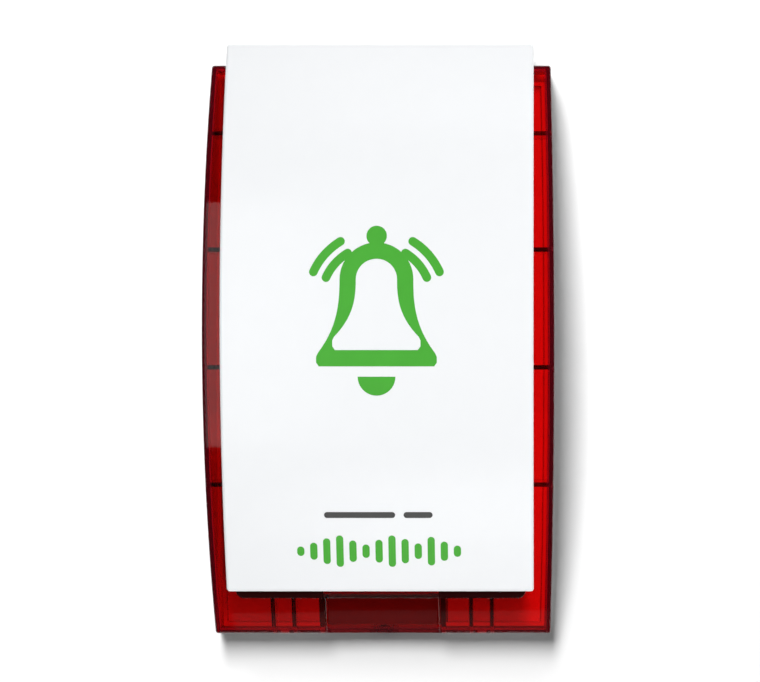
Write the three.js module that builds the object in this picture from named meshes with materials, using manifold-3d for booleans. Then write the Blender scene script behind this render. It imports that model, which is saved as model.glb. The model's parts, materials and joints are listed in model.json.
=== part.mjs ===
// Outdoor alarm siren with a red beacon lens, drawn in millimetres.
//
// The origin is on the wall, level with the middle of the white front cover. +Z is up and the front
// faces -Y. Shapes are described by x across, z up and depth out from the wall, so y = -depth.

import * as THREE from 'three';
import { mergeVertices } from 'three/addons/utils/BufferGeometryUtils.js';
import Module from 'manifold-3d';

const wasm = await Module();
wasm.setup();

// ---------------------------------------------------------------------------------------------
// Driving dimensions
// ---------------------------------------------------------------------------------------------

// GAP parts pieces that touch, and SUNK is how far one shape of a piece runs into the next.
const GAP = 0.3;
const SUNK = 0.2;
const FAR_AWAY = 200;

// Every front surface is the same arch. It falls by drop at halfHeight above and below the middle.
const ARCH = { drop: 34, halfHeight: 148.1, steps: 10 };

const COVER = { halfWidth: 83, halfHeight: 148.1, crown: 80, skin: 3, rim: 2.8, rimDepth: 3, corner: 2 };
const ROOF = { thickness: 3, rearDepth: 11 };

const LENS = {
  top: 137.4, bottom: -173.6, halfWidthMiddle: 94.2, halfWidthEnd: 92.2,
  crown: 66, wall: 2.5, rearDepth: 1, topRearDepth: 4, sideSteps: 6,
};
const SIDE_RIB = { heights: [99.2, 36.2, -26.6, -89.7], thickness: 2.4, innerX: 70, rearDepth: 18 };
const BAY_RIB = { positions: [48.6, 60], thickness: 2.2, top: -146, rearDepth: 10 };
const DISH = { halfWidth: 31.4, wall: 3.2, recess: 4, top: -152.4, dividerRear: 9.5 };
const PLINTH = { halfWidth: 78.6, top: 131, bottom: -152.4, corner: 4, wall: 2.5, lip: 6, lipDepth: 2 };
const GASKET = { thickness: 2, width: 5.3, inset: 0.3, breakTop: -147.6 };
const WEEP_SLOT = { x: 54.3, width: 5, near: 9.5, far: 15.5 };
const SOUND_NOTCH = { inner: 8, outer: 30, far: 6.5 };

const COVER_BOSS = { x: 62, heights: [112, -128], radius: 4, pad: 4.5, padBack: 6, padFront: 1.7, hole: 1.9 };
const COVER_SCREW = { radius: 1.5, headRadius: 3, headHeight: 2.2, length: 14 };

const PLATE = { floor: 3, inset: 3.5, wall: 2, wallDepth: 8, top: 130.5, bottom: -170.1 };
const TONGUE = { halfWidth: 80, top: 147 };
const HINGE = { depth: 11, z: 141.2, radius: 3.1, pin: 1.5, bore: 1.8, x: 55, knuckle: 6, ear: 4, gap: 0.6 };
const HINGE_ROOT = { near: 8.4, far: 13.6, sunk: 1.4 };
const WALL_FIXINGS = [[-64, 118], [64, 118], [-66, -140], [66, -140]];
const WALL_FIXING = { hole: 2.75, pad: 6.5, padDepth: 5 };

const BOARD = { halfWidth: 56, bottom: 44, top: 120, near: 9, thickness: 1.6 };
const BOARD_FIXING = { x: 50, heights: [50, 114], post: 3.6, pilot: 1.5, clearance: 1.9 };
const SMALL_SCREW = { radius: 1.2, headRadius: 2.6, headHeight: 1.8, length: 7 };
const CROSS_SLOT = { halfWidth: 0.35, reach: 0.6, depth: 0.5 };

const CHIP = { left: -14, right: -2, bottom: 88, top: 100, height: 1.4 };
const COIL = { left: -46, right: -30, bottom: 82, top: 98, base: 2, x: -38, z: 90, radius: 7, height: 9 };
const STATUS_LED = { x: 30, z: 66, radius: 1.5, height: 2.8 };
const TERMINALS = { left: -36, pitch: 6, ways: 6, bottom: 47, top: 56.5, height: 10 };
const WIRE_ENTRY = { half: 1.7, near: 2, far: 5.6, top: 52 };
const CLAMP_WELL = { z: 53, radius: 1.8, near: 7 };
const RADIO = { left: 12, right: 42, bottom: 84, top: 108, card: 1 };
const RADIO_SHIELD = { left: 14, right: 34, bottom: 86, top: 106, height: 3.4 };
const ANTENNA_FOOT = { left: 43, right: 47, bottom: 100, top: 104, height: 4 };
const ANTENNA = {
  x: 45, endX: -36, startZ: 102, riseZ: 108, bendZ: 113, topZ: 114, low: 3, high: 6, radius: 0.9, steps: 10,
};
const LEARN_BUTTON = { x: -20, z: 68, half: 3.5, body: 3.6, radius: 1.7, proud: 1.6, well: 2.6, sunk: 0.9 };
const CAPACITOR = { x: 2, z: 74, radius: 5, height: 18 };

const CELL = { radius: 8.5, length: 34.5, pitch: 19.5, count: 4, capRadius: 3, cap: 1.5 };
const HOLDER = { x: 18, z: 16, halfWidth: 40.5, halfHeight: 21.5, floor: 2, wall: 1.8, far: 16 };
const CONTACT = { thickness: 0.5, endGap: 0.9, rise: 2, drop: 1 };
const RETAINER = { thickness: 2, halfHeight: 4 };

const HORN = {
  driverZ: -58, radius: 32, wall: 2, near: 3.3, lidNear: 24.3, far: 26.3,
  neckZ: -84, neckHalf: 23, mouthZ: -147, mouthHalf: 31, sides: 18,
};
const FLARE = { steps: [1, 0.66, 0.33], power: 1.6 };
const HORN_SCREWS = [[-34.6, -58], [34.6, -58], [-27.6, -110], [27.6, -110]];
const HORN_SCREW = { ear: 4.2, pilot: 1.5, pilotNear: 15, clearance: 1.6 };
const DRIVER = { radius: 26, height: 9, throat: 19, throatNear: 6.5 };
const PIEZO = { radius: 18, thickness: 0.6 };
const GRILLE = { thickness: 1.4, inset: 2.2, rise: 7, columns: 7, rows: 2, bar: 1.6 };

const STROBE = {
  inner: 67, outer: 79.5, bottom: -112, top: 92, near: 8, thickness: 1.6, post: 4, postInset: 8,
};
const STROBE_LEDS = [68, 5, -58];
const LED = { half: 3.5, base: 1.6, dome: [[0, 0], [2.7, 0], [2.3, 1.3], [1.2, 2], [0, 2.2]] };

const LOCK = {
  depth: 8.6, boss: 5.4, bossTop: -166.5, counterbore: 3.95, seat: -167.7, hole: 2.4,
  post: 6, postBottom: -160.3, postTop: -151.5, postFar: 14.6,
};
const LOCK_SCREW = {
  radius: 2, headRadius: 3.5, headBottom: -173.4, headTop: -171.6, tip: -161, socket: 1.6, socketDepth: 1.2,
};
const LOCK_WASHER = { outer: 3.5, inner: 2.3, bottom: -171.3, top: -170.8 };
const INSERT = { outer: 3.6, inner: 2.3, bottom: -160, top: -154, clearance: 3.9 };

const COVER_TAMPER = { x: 50, z: -100, half: 7, near: 3.3, far: 16, bore: 3.2, boreNear: 5.3, spring: 5.4 };
const COVER_PLUNGER = { radius: 2.7, near: 11.4, far: 23.7, post: 3 };
const WALL_TAMPER = { x: 48, z: -40, half: 7, near: 3.3, far: 14.4, bore: 3.2, boreFar: 12.8, spring: 3 };
const WALL_PLUNGER = { radius: 2.7, near: 0, far: 9, floorHole: 3.6 };
const SPRING = { radius: 2.2, wire: 0.35, turns: 3.5, stepsPerTurn: 8, sides: 4 };

const LEAD = { radius: 1.1, steps: 14, plugHalfWidth: 3, plugHalfHeight: 2.5, plugRise: 2 };
// Points of each lead, as x, depth and z.
const LEADS = {
  strobe_lead_left: [[-45, 14, 58], [-47, 20, 50], [-58, 20, 42], [-70, 16, 40], [-73, 12.6, 36]],
  strobe_lead_right: [[45, 14, 58], [47, 20, 50], [60, 20, 42], [70, 16, 40], [73, 12.6, 36]],
  siren_lead: [[-30, 14, 66], [-31, 22, 58], [-30, 25, 40], [-28, 22, 0], [-27, 18, -16], [-38, 14, -30],
    [-40, 12, -44]],
  battery_lead: [[18, 14, 58], [18, 22, 54], [16, 24, 46], [6, 21, 42], [-16, 19, 41.5], [-26.5, 18, 38],
    [-27, 16, 30]],
};

const GROMMET = { x: -50, z: 16, hole: 9, groove: 0.9, flange: 11.5, bore: 5, rear: 0.4, front: 5.4 };

// ---------------------------------------------------------------------------------------------
// Materials
// ---------------------------------------------------------------------------------------------

const finish = (color, roughness, metalness = 0) =>
  new THREE.MeshStandardMaterial({ color, roughness, metalness });

const WHITE_COVER = finish(0xf3f4f6, 0.25);
const WHITE_BASE = finish(0xe6e6e3, 0.45);
const RED_LENS = finish(0xb4000c, 0.12);
const BLACK_RUBBER = finish(0x141414, 0.85);
const BLACK_PLASTIC = finish(0x1b1b1d, 0.5);
const WHITE_PLASTIC = finish(0xdedede, 0.4);
const STEEL = finish(0xb9bcc0, 0.3, 1);
const BRASS = finish(0xc39a45, 0.3, 1);
const GREEN_BOARD = finish(0x1e6b3a, 0.4);
const WHITE_BOARD = finish(0xf0f0ea, 0.4);
const LED_YELLOW = finish(0xe8c84a, 0.3);
const CELL_WRAP = finish(0x2b5fa8, 0.35);
const TERMINAL_GREEN = finish(0x2f8f4f, 0.45);
const RED_NYLON = finish(0xb83a2e, 0.5);

// ---------------------------------------------------------------------------------------------
// Solid helpers
// ---------------------------------------------------------------------------------------------

// Lists the triangles that still have three different corners, wound so that they face outwards.
function outwardTriangles(geometry) {
  const index = geometry.index.array;
  const corner = [new THREE.Vector3(), new THREE.Vector3(), new THREE.Vector3()];
  const triangles = [];
  let volume = 0;
  for (let i = 0; i < index.length; i += 3) {
    const [a, b, c] = [index[i], index[i + 1], index[i + 2]];
    if (a === b || b === c || c === a) continue;
    triangles.push([a, b, c]);
    corner.forEach((point, k) => point.fromBufferAttribute(geometry.attributes.position, [a, b, c][k]));
    volume += corner[0].dot(corner[1].cross(corner[2]));
  }
  return volume < 0 ? triangles.map(([a, b, c]) => [a, c, b]) : triangles;
}

// Turns a closed geometry into a solid that can be joined and cut.
function solidOf(geometry) {
  const bare = new THREE.BufferGeometry();
  bare.setAttribute('position', geometry.attributes.position);
  bare.setIndex(geometry.index);
  const merged = mergeVertices(bare, 1e-4);
  const triVerts = new Uint32Array(outwardTriangles(merged).flat());
  const vertProperties = new Float32Array(merged.attributes.position.array);
  return new wasm.Manifold(new wasm.Mesh({ numProp: 3, vertProperties, triVerts }));
}

function geometryOf(solid) {
  const { vertProperties, triVerts } = solid.getMesh();
  const indexed = new THREE.BufferGeometry();
  indexed.setAttribute('position', new THREE.BufferAttribute(vertProperties, 3));
  indexed.setIndex(new THREE.BufferAttribute(triVerts, 1));
  const geometry = indexed.toNonIndexed();
  geometry.computeVertexNormals();
  return geometry;
}

const joined = (solids) => solids.reduce((whole, solid) => whole.add(solid));
const without = (solid, cuts) => solid.subtract(joined(cuts));

function block(left, right, near, far, bottom, top) {
  const geometry = new THREE.BoxGeometry(right - left, far - near, top - bottom);
  geometry.translate((left + right) / 2, -(near + far) / 2, (bottom + top) / 2);
  return solidOf(geometry);
}

const extruded = (outline, length) =>
  new THREE.ExtrudeGeometry(outline, { depth: length, bevelEnabled: false, curveSegments: 3 });

// The outline is drawn in x and z, and runs out from the wall.
function slab(outline, near, far) {
  const geometry = extruded(outline, far - near);
  geometry.rotateX(Math.PI / 2);
  geometry.translate(0, -near, 0);
  return solidOf(geometry);
}

// The outline is drawn in depth and z, and runs across the object.
function beam(outline, left, right) {
  const axes = [new THREE.Vector3(0, -1, 0), new THREE.Vector3(0, 0, 1), new THREE.Vector3(-1, 0, 0)];
  const geometry = extruded(outline, right - left);
  geometry.applyMatrix4(new THREE.Matrix4().makeBasis(...axes));
  geometry.translate(right, 0, 0);
  return solidOf(geometry);
}

function rodOut(x, z, radius, near, far, sides = 12) {
  const geometry = new THREE.CylinderGeometry(radius, radius, far - near, sides);
  geometry.translate(x, -(near + far) / 2, z);
  return solidOf(geometry);
}

function rodUp(x, depth, radius, bottom, top, sides = 12) {
  const geometry = new THREE.CylinderGeometry(radius, radius, top - bottom, sides);
  geometry.rotateX(Math.PI / 2);
  geometry.translate(x, -depth, (bottom + top) / 2);
  return solidOf(geometry);
}

function rodAcross(depth, z, radius, left, right, sides = 12) {
  const geometry = new THREE.CylinderGeometry(radius, radius, right - left, sides);
  geometry.rotateZ(Math.PI / 2);
  geometry.translate((left + right) / 2, -depth, z);
  return solidOf(geometry);
}

// ---------------------------------------------------------------------------------------------
// Outlines
// ---------------------------------------------------------------------------------------------

const archedDepth = (crown, z) => crown - ARCH.drop * (z / ARCH.halfHeight) ** 2;

function archPoints(crown, bottom, top) {
  const heights = Array.from({ length: ARCH.steps + 1 }, (_, i) =>
    bottom + (top - bottom) * (i / ARCH.steps));
  return heights.map((z) => new THREE.Vector2(archedDepth(crown, z), z));
}

// Everything between a flat rear plane and an arch, right across the object.
function archedBlock(rear, crown, bottom, top, halfWidth = FAR_AWAY) {
  const rearEdge = [new THREE.Vector2(rear, top), new THREE.Vector2(rear, bottom)];
  return beam(new THREE.Shape([...archPoints(crown, bottom, top), ...rearEdge]), -halfWidth, halfWidth);
}

// Everything between two arches.
function archedBand(nearCrown, farCrown, bottom, top, halfWidth = FAR_AWAY) {
  const inner = archPoints(nearCrown, bottom, top).reverse();
  return beam(new THREE.Shape([...archPoints(farCrown, bottom, top), ...inner]), -halfWidth, halfWidth);
}

function roundedOutline(left, right, bottom, top, radius) {
  const outline = new THREE.Shape();
  outline.absarc(right - radius, top - radius, radius, 0, Math.PI / 2);
  outline.absarc(left + radius, top - radius, radius, Math.PI / 2, Math.PI);
  outline.absarc(left + radius, bottom + radius, radius, Math.PI, Math.PI * 1.5);
  outline.absarc(right - radius, bottom + radius, radius, Math.PI * 1.5, Math.PI * 2);
  return outline;
}

function lensHalfWidth(z) {
  const middle = (LENS.top + LENS.bottom) / 2;
  const reach = (LENS.top - LENS.bottom) / 2;
  const bow = LENS.halfWidthMiddle - LENS.halfWidthEnd;
  return LENS.halfWidthMiddle - bow * ((z - middle) / reach) ** 2;
}

// The bowed outline of the lens, drawn inwards by inset.
function bowedOutline(inset, bottom, top) {
  const heights = Array.from({ length: LENS.sideSteps + 1 }, (_, i) =>
    bottom + (top - bottom) * (i / LENS.sideSteps));
  const right = heights.map((z) => new THREE.Vector2(lensHalfWidth(z) - inset, z));
  const left = heights.map((z) => new THREE.Vector2(inset - lensHalfWidth(z), z)).reverse();
  return new THREE.Shape([...right, ...left]);
}

// ---------------------------------------------------------------------------------------------
// Moving cover: lens, gasket and white front cover
// ---------------------------------------------------------------------------------------------

const bothSides = (make) => [make(-1), make(1)];

function sideBlock(side, inner, outer, near, far, bottom, top) {
  const edges = [side * inner, side * outer].sort((a, b) => a - b);
  return block(edges[0], edges[1], near, far, bottom, top);
}

function lensOutside() {
  const sides = slab(bowedOutline(0, LENS.bottom, LENS.top), LENS.rearDepth, FAR_AWAY);
  const arch = archedBlock(0, LENS.crown, LENS.bottom - 1, LENS.top + 1);
  const dishNear = LENS.crown - DISH.recess;
  const dish = archedBand(dishNear, FAR_AWAY, LENS.bottom - 1, DISH.top, DISH.halfWidth);
  return sides.intersect(arch).subtract(dish);
}

function lensInside() {
  const inner = LENS.crown - LENS.wall;
  const outline = bowedOutline(LENS.wall, LENS.bottom + LENS.wall, LENS.top - LENS.wall);
  const arch = archedBlock(-1, inner, LENS.bottom, LENS.top);
  const dishTop = DISH.top + LENS.wall;
  const dishHalf = DISH.halfWidth + DISH.wall;
  const dish = archedBand(inner - DISH.recess, LENS.crown, LENS.bottom, dishTop, dishHalf);
  return slab(outline, -1, FAR_AWAY).intersect(arch).subtract(dish);
}

function lensRibs() {
  const half = SIDE_RIB.thickness / 2;
  const side = SIDE_RIB.heights.flatMap((z) => bothSides((s) =>
    sideBlock(s, SIDE_RIB.innerX, FAR_AWAY, SIDE_RIB.rearDepth, FAR_AWAY, z - half, z + half)));
  const bayHalf = BAY_RIB.thickness / 2;
  const bay = BAY_RIB.positions.flatMap((x) => bothSides((s) =>
    sideBlock(s, x - bayHalf, x + bayHalf, BAY_RIB.rearDepth, FAR_AWAY, LENS.bottom, BAY_RIB.top)));
  const dividerEdge = DISH.halfWidth + DISH.wall;
  const dividers = bothSides((s) =>
    sideBlock(s, DISH.halfWidth, dividerEdge, DISH.dividerRear, FAR_AWAY, LENS.bottom, BAY_RIB.top));
  return joined([...side, ...bay, ...dividers]);
}

function plinthOutline(inset) {
  const { halfWidth, bottom, top, corner } = PLINTH;
  const radius = Math.max(corner - inset, 0.5);
  return roundedOutline(inset - halfWidth, halfWidth - inset, bottom + inset, top - inset, radius);
}

const gasketNear = COVER.crown - COVER.skin - 2 * GAP - GASKET.thickness;

// The raised wall that carries the front cover, with an inward lip for the gasket.
function plinthWall() {
  const outer = slab(plinthOutline(0), 0, FAR_AWAY);
  const ring = (inset) => outer.subtract(slab(plinthOutline(inset), -1, FAR_AWAY + 1));
  const bandFrom = (near) => archedBand(near, gasketNear, -FAR_AWAY, FAR_AWAY);
  const wall = ring(PLINTH.wall).intersect(bandFrom(LENS.crown - 1));
  const lip = ring(PLINTH.lip).intersect(bandFrom(gasketNear - PLINTH.lipDepth));
  return wall.add(lip);
}

function coverBossPlaces() {
  return COVER_BOSS.heights.flatMap((z) => bothSides((s) => ({ x: s * COVER_BOSS.x, z })));
}

const padNear = (z) => archedDepth(LENS.crown, z) - COVER_BOSS.padBack;
const padFar = (z) => archedDepth(LENS.crown, z) + COVER_BOSS.padFront;

function lensKnuckles() {
  const half = HINGE.knuckle / 2;
  return bothSides((s) => {
    const barrel = rodAcross(HINGE.depth, HINGE.z, HINGE.radius, s * HINGE.x - half, s * HINGE.x + half);
    const root = sideBlock(s, HINGE.x - half, HINGE.x + half, HINGE_ROOT.near, HINGE_ROOT.far,
      LENS.top - HINGE_ROOT.sunk, HINGE.z);
    return barrel.add(root);
  });
}

function lens() {
  const outside = lensOutside();
  const shell = outside.subtract(lensInside());
  const pads = coverBossPlaces().map(({ x, z }) => rodOut(x, z, COVER_BOSS.pad, padNear(z), padFar(z)));
  const tamperTip = COVER_PLUNGER.far + GAP;
  const tamperRoot = archedDepth(LENS.crown, COVER_TAMPER.z) - 1;
  const tamperPost = rodOut(COVER_TAMPER.x, COVER_TAMPER.z, COVER_PLUNGER.post, tamperTip, tamperRoot);
  const lockBoss = rodUp(0, LOCK.depth, LOCK.boss, LENS.bottom, LOCK.bossTop, 16);
  const ribs = outside.intersect(lensRibs());
  const body = joined([shell, ribs, plinthWall(), tamperPost, lockBoss, ...pads, ...lensKnuckles()]);
  const underside = LENS.bottom - 1;
  const aboveFloor = LENS.bottom + LENS.wall + 0.5;
  const slotHalf = WEEP_SLOT.width / 2;
  return without(body, [
    block(-FAR_AWAY, FAR_AWAY, 0, LENS.topRearDepth, LENS.top - LENS.wall - 1, LENS.top + 1),
    ...coverBossPlaces().map(({ x, z }) => rodOut(x, z, COVER_BOSS.hole, 0, FAR_AWAY, 12)),
    rodUp(0, LOCK.depth, LOCK.counterbore, underside, LOCK.seat, 16),
    rodUp(0, LOCK.depth, LOCK.hole, underside, LOCK.bossTop + 1),
    rodAcross(HINGE.depth, HINGE.z, HINGE.bore, -FAR_AWAY, FAR_AWAY),
    ...bothSides((s) => sideBlock(s, WEEP_SLOT.x - slotHalf, WEEP_SLOT.x + slotHalf,
      WEEP_SLOT.near, WEEP_SLOT.far, underside, aboveFloor)),
    ...bothSides((s) => sideBlock(s, SOUND_NOTCH.inner, SOUND_NOTCH.outer,
      0, SOUND_NOTCH.far, underside, aboveFloor)),
  ]);
}

function coverGasket() {
  const outer = slab(plinthOutline(GASKET.inset), 0, FAR_AWAY);
  const inner = slab(plinthOutline(GASKET.inset + GASKET.width), -1, FAR_AWAY + 1);
  const near = gasketNear + GAP;
  const band = archedBand(near, near + GASKET.thickness, -FAR_AWAY, FAR_AWAY);
  const breakAtDish = block(-DISH.halfWidth, DISH.halfWidth, 0, FAR_AWAY, PLINTH.bottom - 1, GASKET.breakTop);
  return outer.subtract(inner).intersect(band).subtract(breakAtDish);
}

function frontCover() {
  const { halfWidth, halfHeight, crown, skin, rim, rimDepth, corner } = COVER;
  const outline = roundedOutline(-halfWidth, halfWidth, -halfHeight, halfHeight, corner);
  const inner = crown - skin;
  const face = slab(outline, 0, FAR_AWAY).intersect(archedBand(inner, crown, -FAR_AWAY, FAR_AWAY));
  const rimBand = archedBand(inner - rimDepth, inner + 1, -FAR_AWAY, FAR_AWAY);
  const [bottom, top] = [corner - halfHeight, halfHeight - 1];
  const rims = bothSides((s) =>
    sideBlock(s, halfWidth - rim, halfWidth, 0, FAR_AWAY, bottom, top).intersect(rimBand));
  const underRoof = halfHeight - ROOF.thickness;
  const roofBlock = block(-halfWidth, halfWidth, ROOF.rearDepth, FAR_AWAY, underRoof, halfHeight);
  const roof = roofBlock.intersect(archedBlock(0, inner + 1, -FAR_AWAY, FAR_AWAY));
  const bosses = coverBossPlaces().map(({ x, z }) =>
    rodOut(x, z, COVER_BOSS.radius, padFar(z) + GAP, archedDepth(inner, z) + 1));
  const pilots = coverBossPlaces().map(({ x, z }) =>
    rodOut(x, z, COVER_BOSS.hole, 0, padFar(z) + COVER_SCREW.length - COVER_BOSS.padBack, 12));
  return without(joined([face, ...rims, roof, ...bosses]), pilots);
}

// A pan-head screw that points out from the wall, with its shank starting at the origin.
function panScrew({ radius, headRadius, headHeight, length }) {
  const shank = rodOut(0, 0, radius, -SUNK, length, 8);
  const head = rodOut(0, 0, headRadius, -headHeight, 0, 10);
  const [half, reach] = [CROSS_SLOT.halfWidth, headRadius * CROSS_SLOT.reach];
  const [start, end] = [-headHeight - 1, -headHeight * CROSS_SLOT.depth];
  const across = block(-reach, reach, start, end, -half, half);
  const upright = block(-half, half, start, end, -reach, reach);
  return without(shank.add(head), [across, upright]);
}

function lockScrew() {
  const { radius, headRadius, headBottom, headTop, tip, socket, socketDepth } = LOCK_SCREW;
  const shank = rodUp(0, LOCK.depth, radius, headTop - SUNK, tip, 10);
  const head = rodUp(0, LOCK.depth, headRadius, headBottom, headTop, 14);
  const hexSocket = rodUp(0, LOCK.depth, socket, headBottom - 1, headBottom + socketDepth, 6);
  return shank.add(head).subtract(hexSocket);
}

function lockWasher() {
  const { outer, inner, bottom, top } = LOCK_WASHER;
  const disc = rodUp(0, LOCK.depth, outer, bottom, top, 14);
  return disc.subtract(rodUp(0, LOCK.depth, inner, bottom - 1, top + 1));
}

// ---------------------------------------------------------------------------------------------
// Back plate
// ---------------------------------------------------------------------------------------------

// Ears on the tongue carry the hinge pins on both sides of each lens knuckle.
function hingeEars() {
  const inner = HINGE.x - HINGE.knuckle / 2 - HINGE.gap - HINGE.ear;
  const outer = HINGE.x + HINGE.knuckle / 2 + HINGE.gap;
  return [inner, outer].flatMap((start) => bothSides((s) => {
    const left = Math.min(s * start, s * (start + HINGE.ear));
    const eye = rodAcross(HINGE.depth, HINGE.z, HINGE.radius, left, left + HINGE.ear);
    const arm = block(left, left + HINGE.ear, 2, HINGE.depth, HINGE.z - HINGE.radius, HINGE.z - 1);
    return eye.add(arm);
  }));
}

function boardFixingPlaces() {
  return BOARD_FIXING.heights.flatMap((z) => bothSides((s) => ({ x: s * BOARD_FIXING.x, z })));
}

function platePosts() {
  const boardPosts = boardFixingPlaces().map(({ x, z }) =>
    rodOut(x, z, BOARD_FIXING.post, 2, BOARD.near - GAP));
  const pads = WALL_FIXINGS.map(([x, z]) => rodOut(x, z, WALL_FIXING.pad, 2, WALL_FIXING.padDepth));
  const strobeMiddle = (STROBE.inner + STROBE.outer) / 2;
  const { bottom, top, post, postInset } = STROBE;
  const strobePosts = [bottom + postInset, top - postInset].flatMap((z) => bothSides((s) =>
    sideBlock(s, strobeMiddle - post, strobeMiddle + post, 2, STROBE.near - GAP, z - post, z + post)));
  const lockPost = block(-LOCK.post, LOCK.post, 2, LOCK.postFar, LOCK.postBottom, LOCK.postTop);
  return [...boardPosts, ...pads, ...strobePosts, lockPost];
}

function backPlate() {
  const floor = slab(bowedOutline(PLATE.inset, PLATE.bottom, PLATE.top), 0, PLATE.floor);
  const tongue = block(-TONGUE.halfWidth, TONGUE.halfWidth, 0, PLATE.floor, PLATE.top - 2, TONGUE.top);
  const wallOuter = slab(bowedOutline(PLATE.inset, PLATE.bottom, PLATE.top), 2, PLATE.wallDepth);
  const [bottom, top] = [PLATE.bottom + PLATE.wall, PLATE.top - PLATE.wall];
  const wall = wallOuter.subtract(slab(bowedOutline(PLATE.inset + PLATE.wall, bottom, top), 0, FAR_AWAY));
  const body = joined([floor, tongue, wall, ...platePosts(), ...hingeEars()]);
  const soundGap = DISH.halfWidth;
  return without(body, [
    block(-soundGap, soundGap, PLATE.floor, FAR_AWAY, PLATE.bottom - 1, PLATE.bottom + PLATE.wall + 1),
    block(-LOCK.boss - 2, LOCK.boss + 2, -1, FAR_AWAY, PLATE.bottom - 1, LOCK.bossTop + 2),
    rodAcross(HINGE.depth, HINGE.z, HINGE.bore, -FAR_AWAY, FAR_AWAY),
    rodOut(GROMMET.x, GROMMET.z, GROMMET.hole, -1, FAR_AWAY, 16),
    rodOut(WALL_TAMPER.x, WALL_TAMPER.z, WALL_PLUNGER.floorHole, -1, PLATE.floor + 1),
    rodUp(0, LOCK.depth, INSERT.clearance, LOCK.postBottom - 1, INSERT.top + GAP),
    ...WALL_FIXINGS.map(([x, z]) => rodOut(x, z, WALL_FIXING.hole, -1, FAR_AWAY, 12)),
    ...boardFixingPlaces().map(({ x, z }) => rodOut(x, z, BOARD_FIXING.pilot, PLATE.floor, FAR_AWAY, 8)),
  ]);
}

function threadedInsert() {
  const sleeve = rodUp(0, LOCK.depth, INSERT.outer, INSERT.bottom, INSERT.top, 14);
  return sleeve.subtract(rodUp(0, LOCK.depth, INSERT.inner, INSERT.bottom - 1, INSERT.top + 1));
}

// A rubber ring whose two flanges hold it in the cable hole.
function cableGrommet() {
  const { x, z, hole, groove, flange, bore, rear, front } = GROMMET;
  const neck = rodOut(x, z, hole - GAP, rear, front, 16);
  const lip = rodOut(x, z, flange, PLATE.floor + GAP, PLATE.floor + GAP + groove, 16);
  return neck.add(lip).subtract(rodOut(x, z, bore, rear - 1, front + 1));
}

// ---------------------------------------------------------------------------------------------
// Electronics
// ---------------------------------------------------------------------------------------------

const boardFace = BOARD.near + BOARD.thickness;
const onBoard = boardFace + GAP;

function mainBoard() {
  const { halfWidth, bottom, top, near } = BOARD;
  const panel = slab(roundedOutline(-halfWidth, halfWidth, bottom, top, 2), near, boardFace);
  const holes = boardFixingPlaces().map(({ x, z }) => rodOut(x, z, BOARD_FIXING.clearance, 0, FAR_AWAY, 8));
  return joined([without(panel, holes), controllerChip(), stepUpCoil(), statusLed()]);
}

// A row of screw terminals with a wire entry in its lower face and a screw well in its front.
function terminalBlock() {
  const { left, pitch, ways, bottom, top, height } = TERMINALS;
  const body = block(left, left + pitch * ways, onBoard, onBoard + height, bottom, top);
  const middles = Array.from({ length: ways }, (_, i) => left + pitch * (i + 0.5));
  const cuts = middles.flatMap((x) => [
    block(x - WIRE_ENTRY.half, x + WIRE_ENTRY.half, onBoard + WIRE_ENTRY.near, onBoard + WIRE_ENTRY.far,
      bottom - 1, WIRE_ENTRY.top),
    rodOut(x, CLAMP_WELL.z, CLAMP_WELL.radius, onBoard + CLAMP_WELL.near, onBoard + height + 1, 8),
  ]);
  return without(body, cuts);
}

// A soldered card with a screening can on it.
function radioModule() {
  const { left, right, bottom, top, card } = RADIO;
  const shield = RADIO_SHIELD;
  const base = block(left, right, onBoard, onBoard + card, bottom, top);
  const can = block(shield.left, shield.right, onBoard + card - SUNK, onBoard + shield.height,
    shield.bottom, shield.top);
  return base.add(can);
}

// The controller, the step-up coil and the status light are soldered down, so they are one with the board.
function controllerChip() {
  return block(CHIP.left, CHIP.right, boardFace - SUNK, boardFace + CHIP.height, CHIP.bottom, CHIP.top);
}

function stepUpCoil() {
  const base = block(COIL.left, COIL.right, boardFace - SUNK, boardFace + COIL.base, COIL.bottom, COIL.top);
  return base.add(rodOut(COIL.x, COIL.z, COIL.radius, boardFace, boardFace + COIL.height, 18));
}

function statusLed() {
  const { x, z, radius, height } = STATUS_LED;
  return rodOut(x, z, radius, boardFace - SUNK, boardFace + height, 10);
}

function disc(radius, sides) {
  const corners = Array.from({ length: sides }, (_, i) => (i / sides) * 2 * Math.PI);
  return new THREE.Shape(corners.map((a) => new THREE.Vector2(radius * Math.cos(a), radius * Math.sin(a))));
}

// A round wire laid smoothly through points given as x, depth and z.
function wire(points, radius, steps) {
  const places = points.map(([x, depth, z]) => new THREE.Vector3(x, -depth, z));
  const extrudePath = new THREE.CatmullRomCurve3(places, false, 'centripetal');
  return solidOf(new THREE.ExtrudeGeometry(disc(radius, 6), { extrudePath, steps, bevelEnabled: false }));
}

// A whip that rises from its foot and runs along the top edge of the board.
function antenna() {
  const { left, right, bottom, top, height } = ANTENNA_FOOT;
  const { x, endX, startZ, riseZ, bendZ, topZ, low, high, radius, steps } = ANTENNA;
  const foot = block(left, right, onBoard, onBoard + height, bottom, top);
  const rise = [[x, onBoard + low, startZ], [x - 1, onBoard + high - 1, riseZ]];
  const run = [[x - 11, onBoard + high, bendZ], [0, onBoard + high, topZ], [endX, onBoard + high, topZ]];
  return foot.add(wire([...rise, ...run], radius, steps));
}

function learnSwitch() {
  const { x, z, half, body, radius, well } = LEARN_BUTTON;
  const shell = block(x - half, x + half, onBoard, onBoard + body, z - half, z + half);
  return shell.subtract(rodOut(x, z, radius + GAP, onBoard + body - well, FAR_AWAY));
}

function learnButton() {
  const { x, z, body, radius, proud, well, sunk } = LEARN_BUTTON;
  const near = onBoard + body - well + sunk;
  return rodOut(x, z, radius, near, onBoard + body + proud);
}

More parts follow.
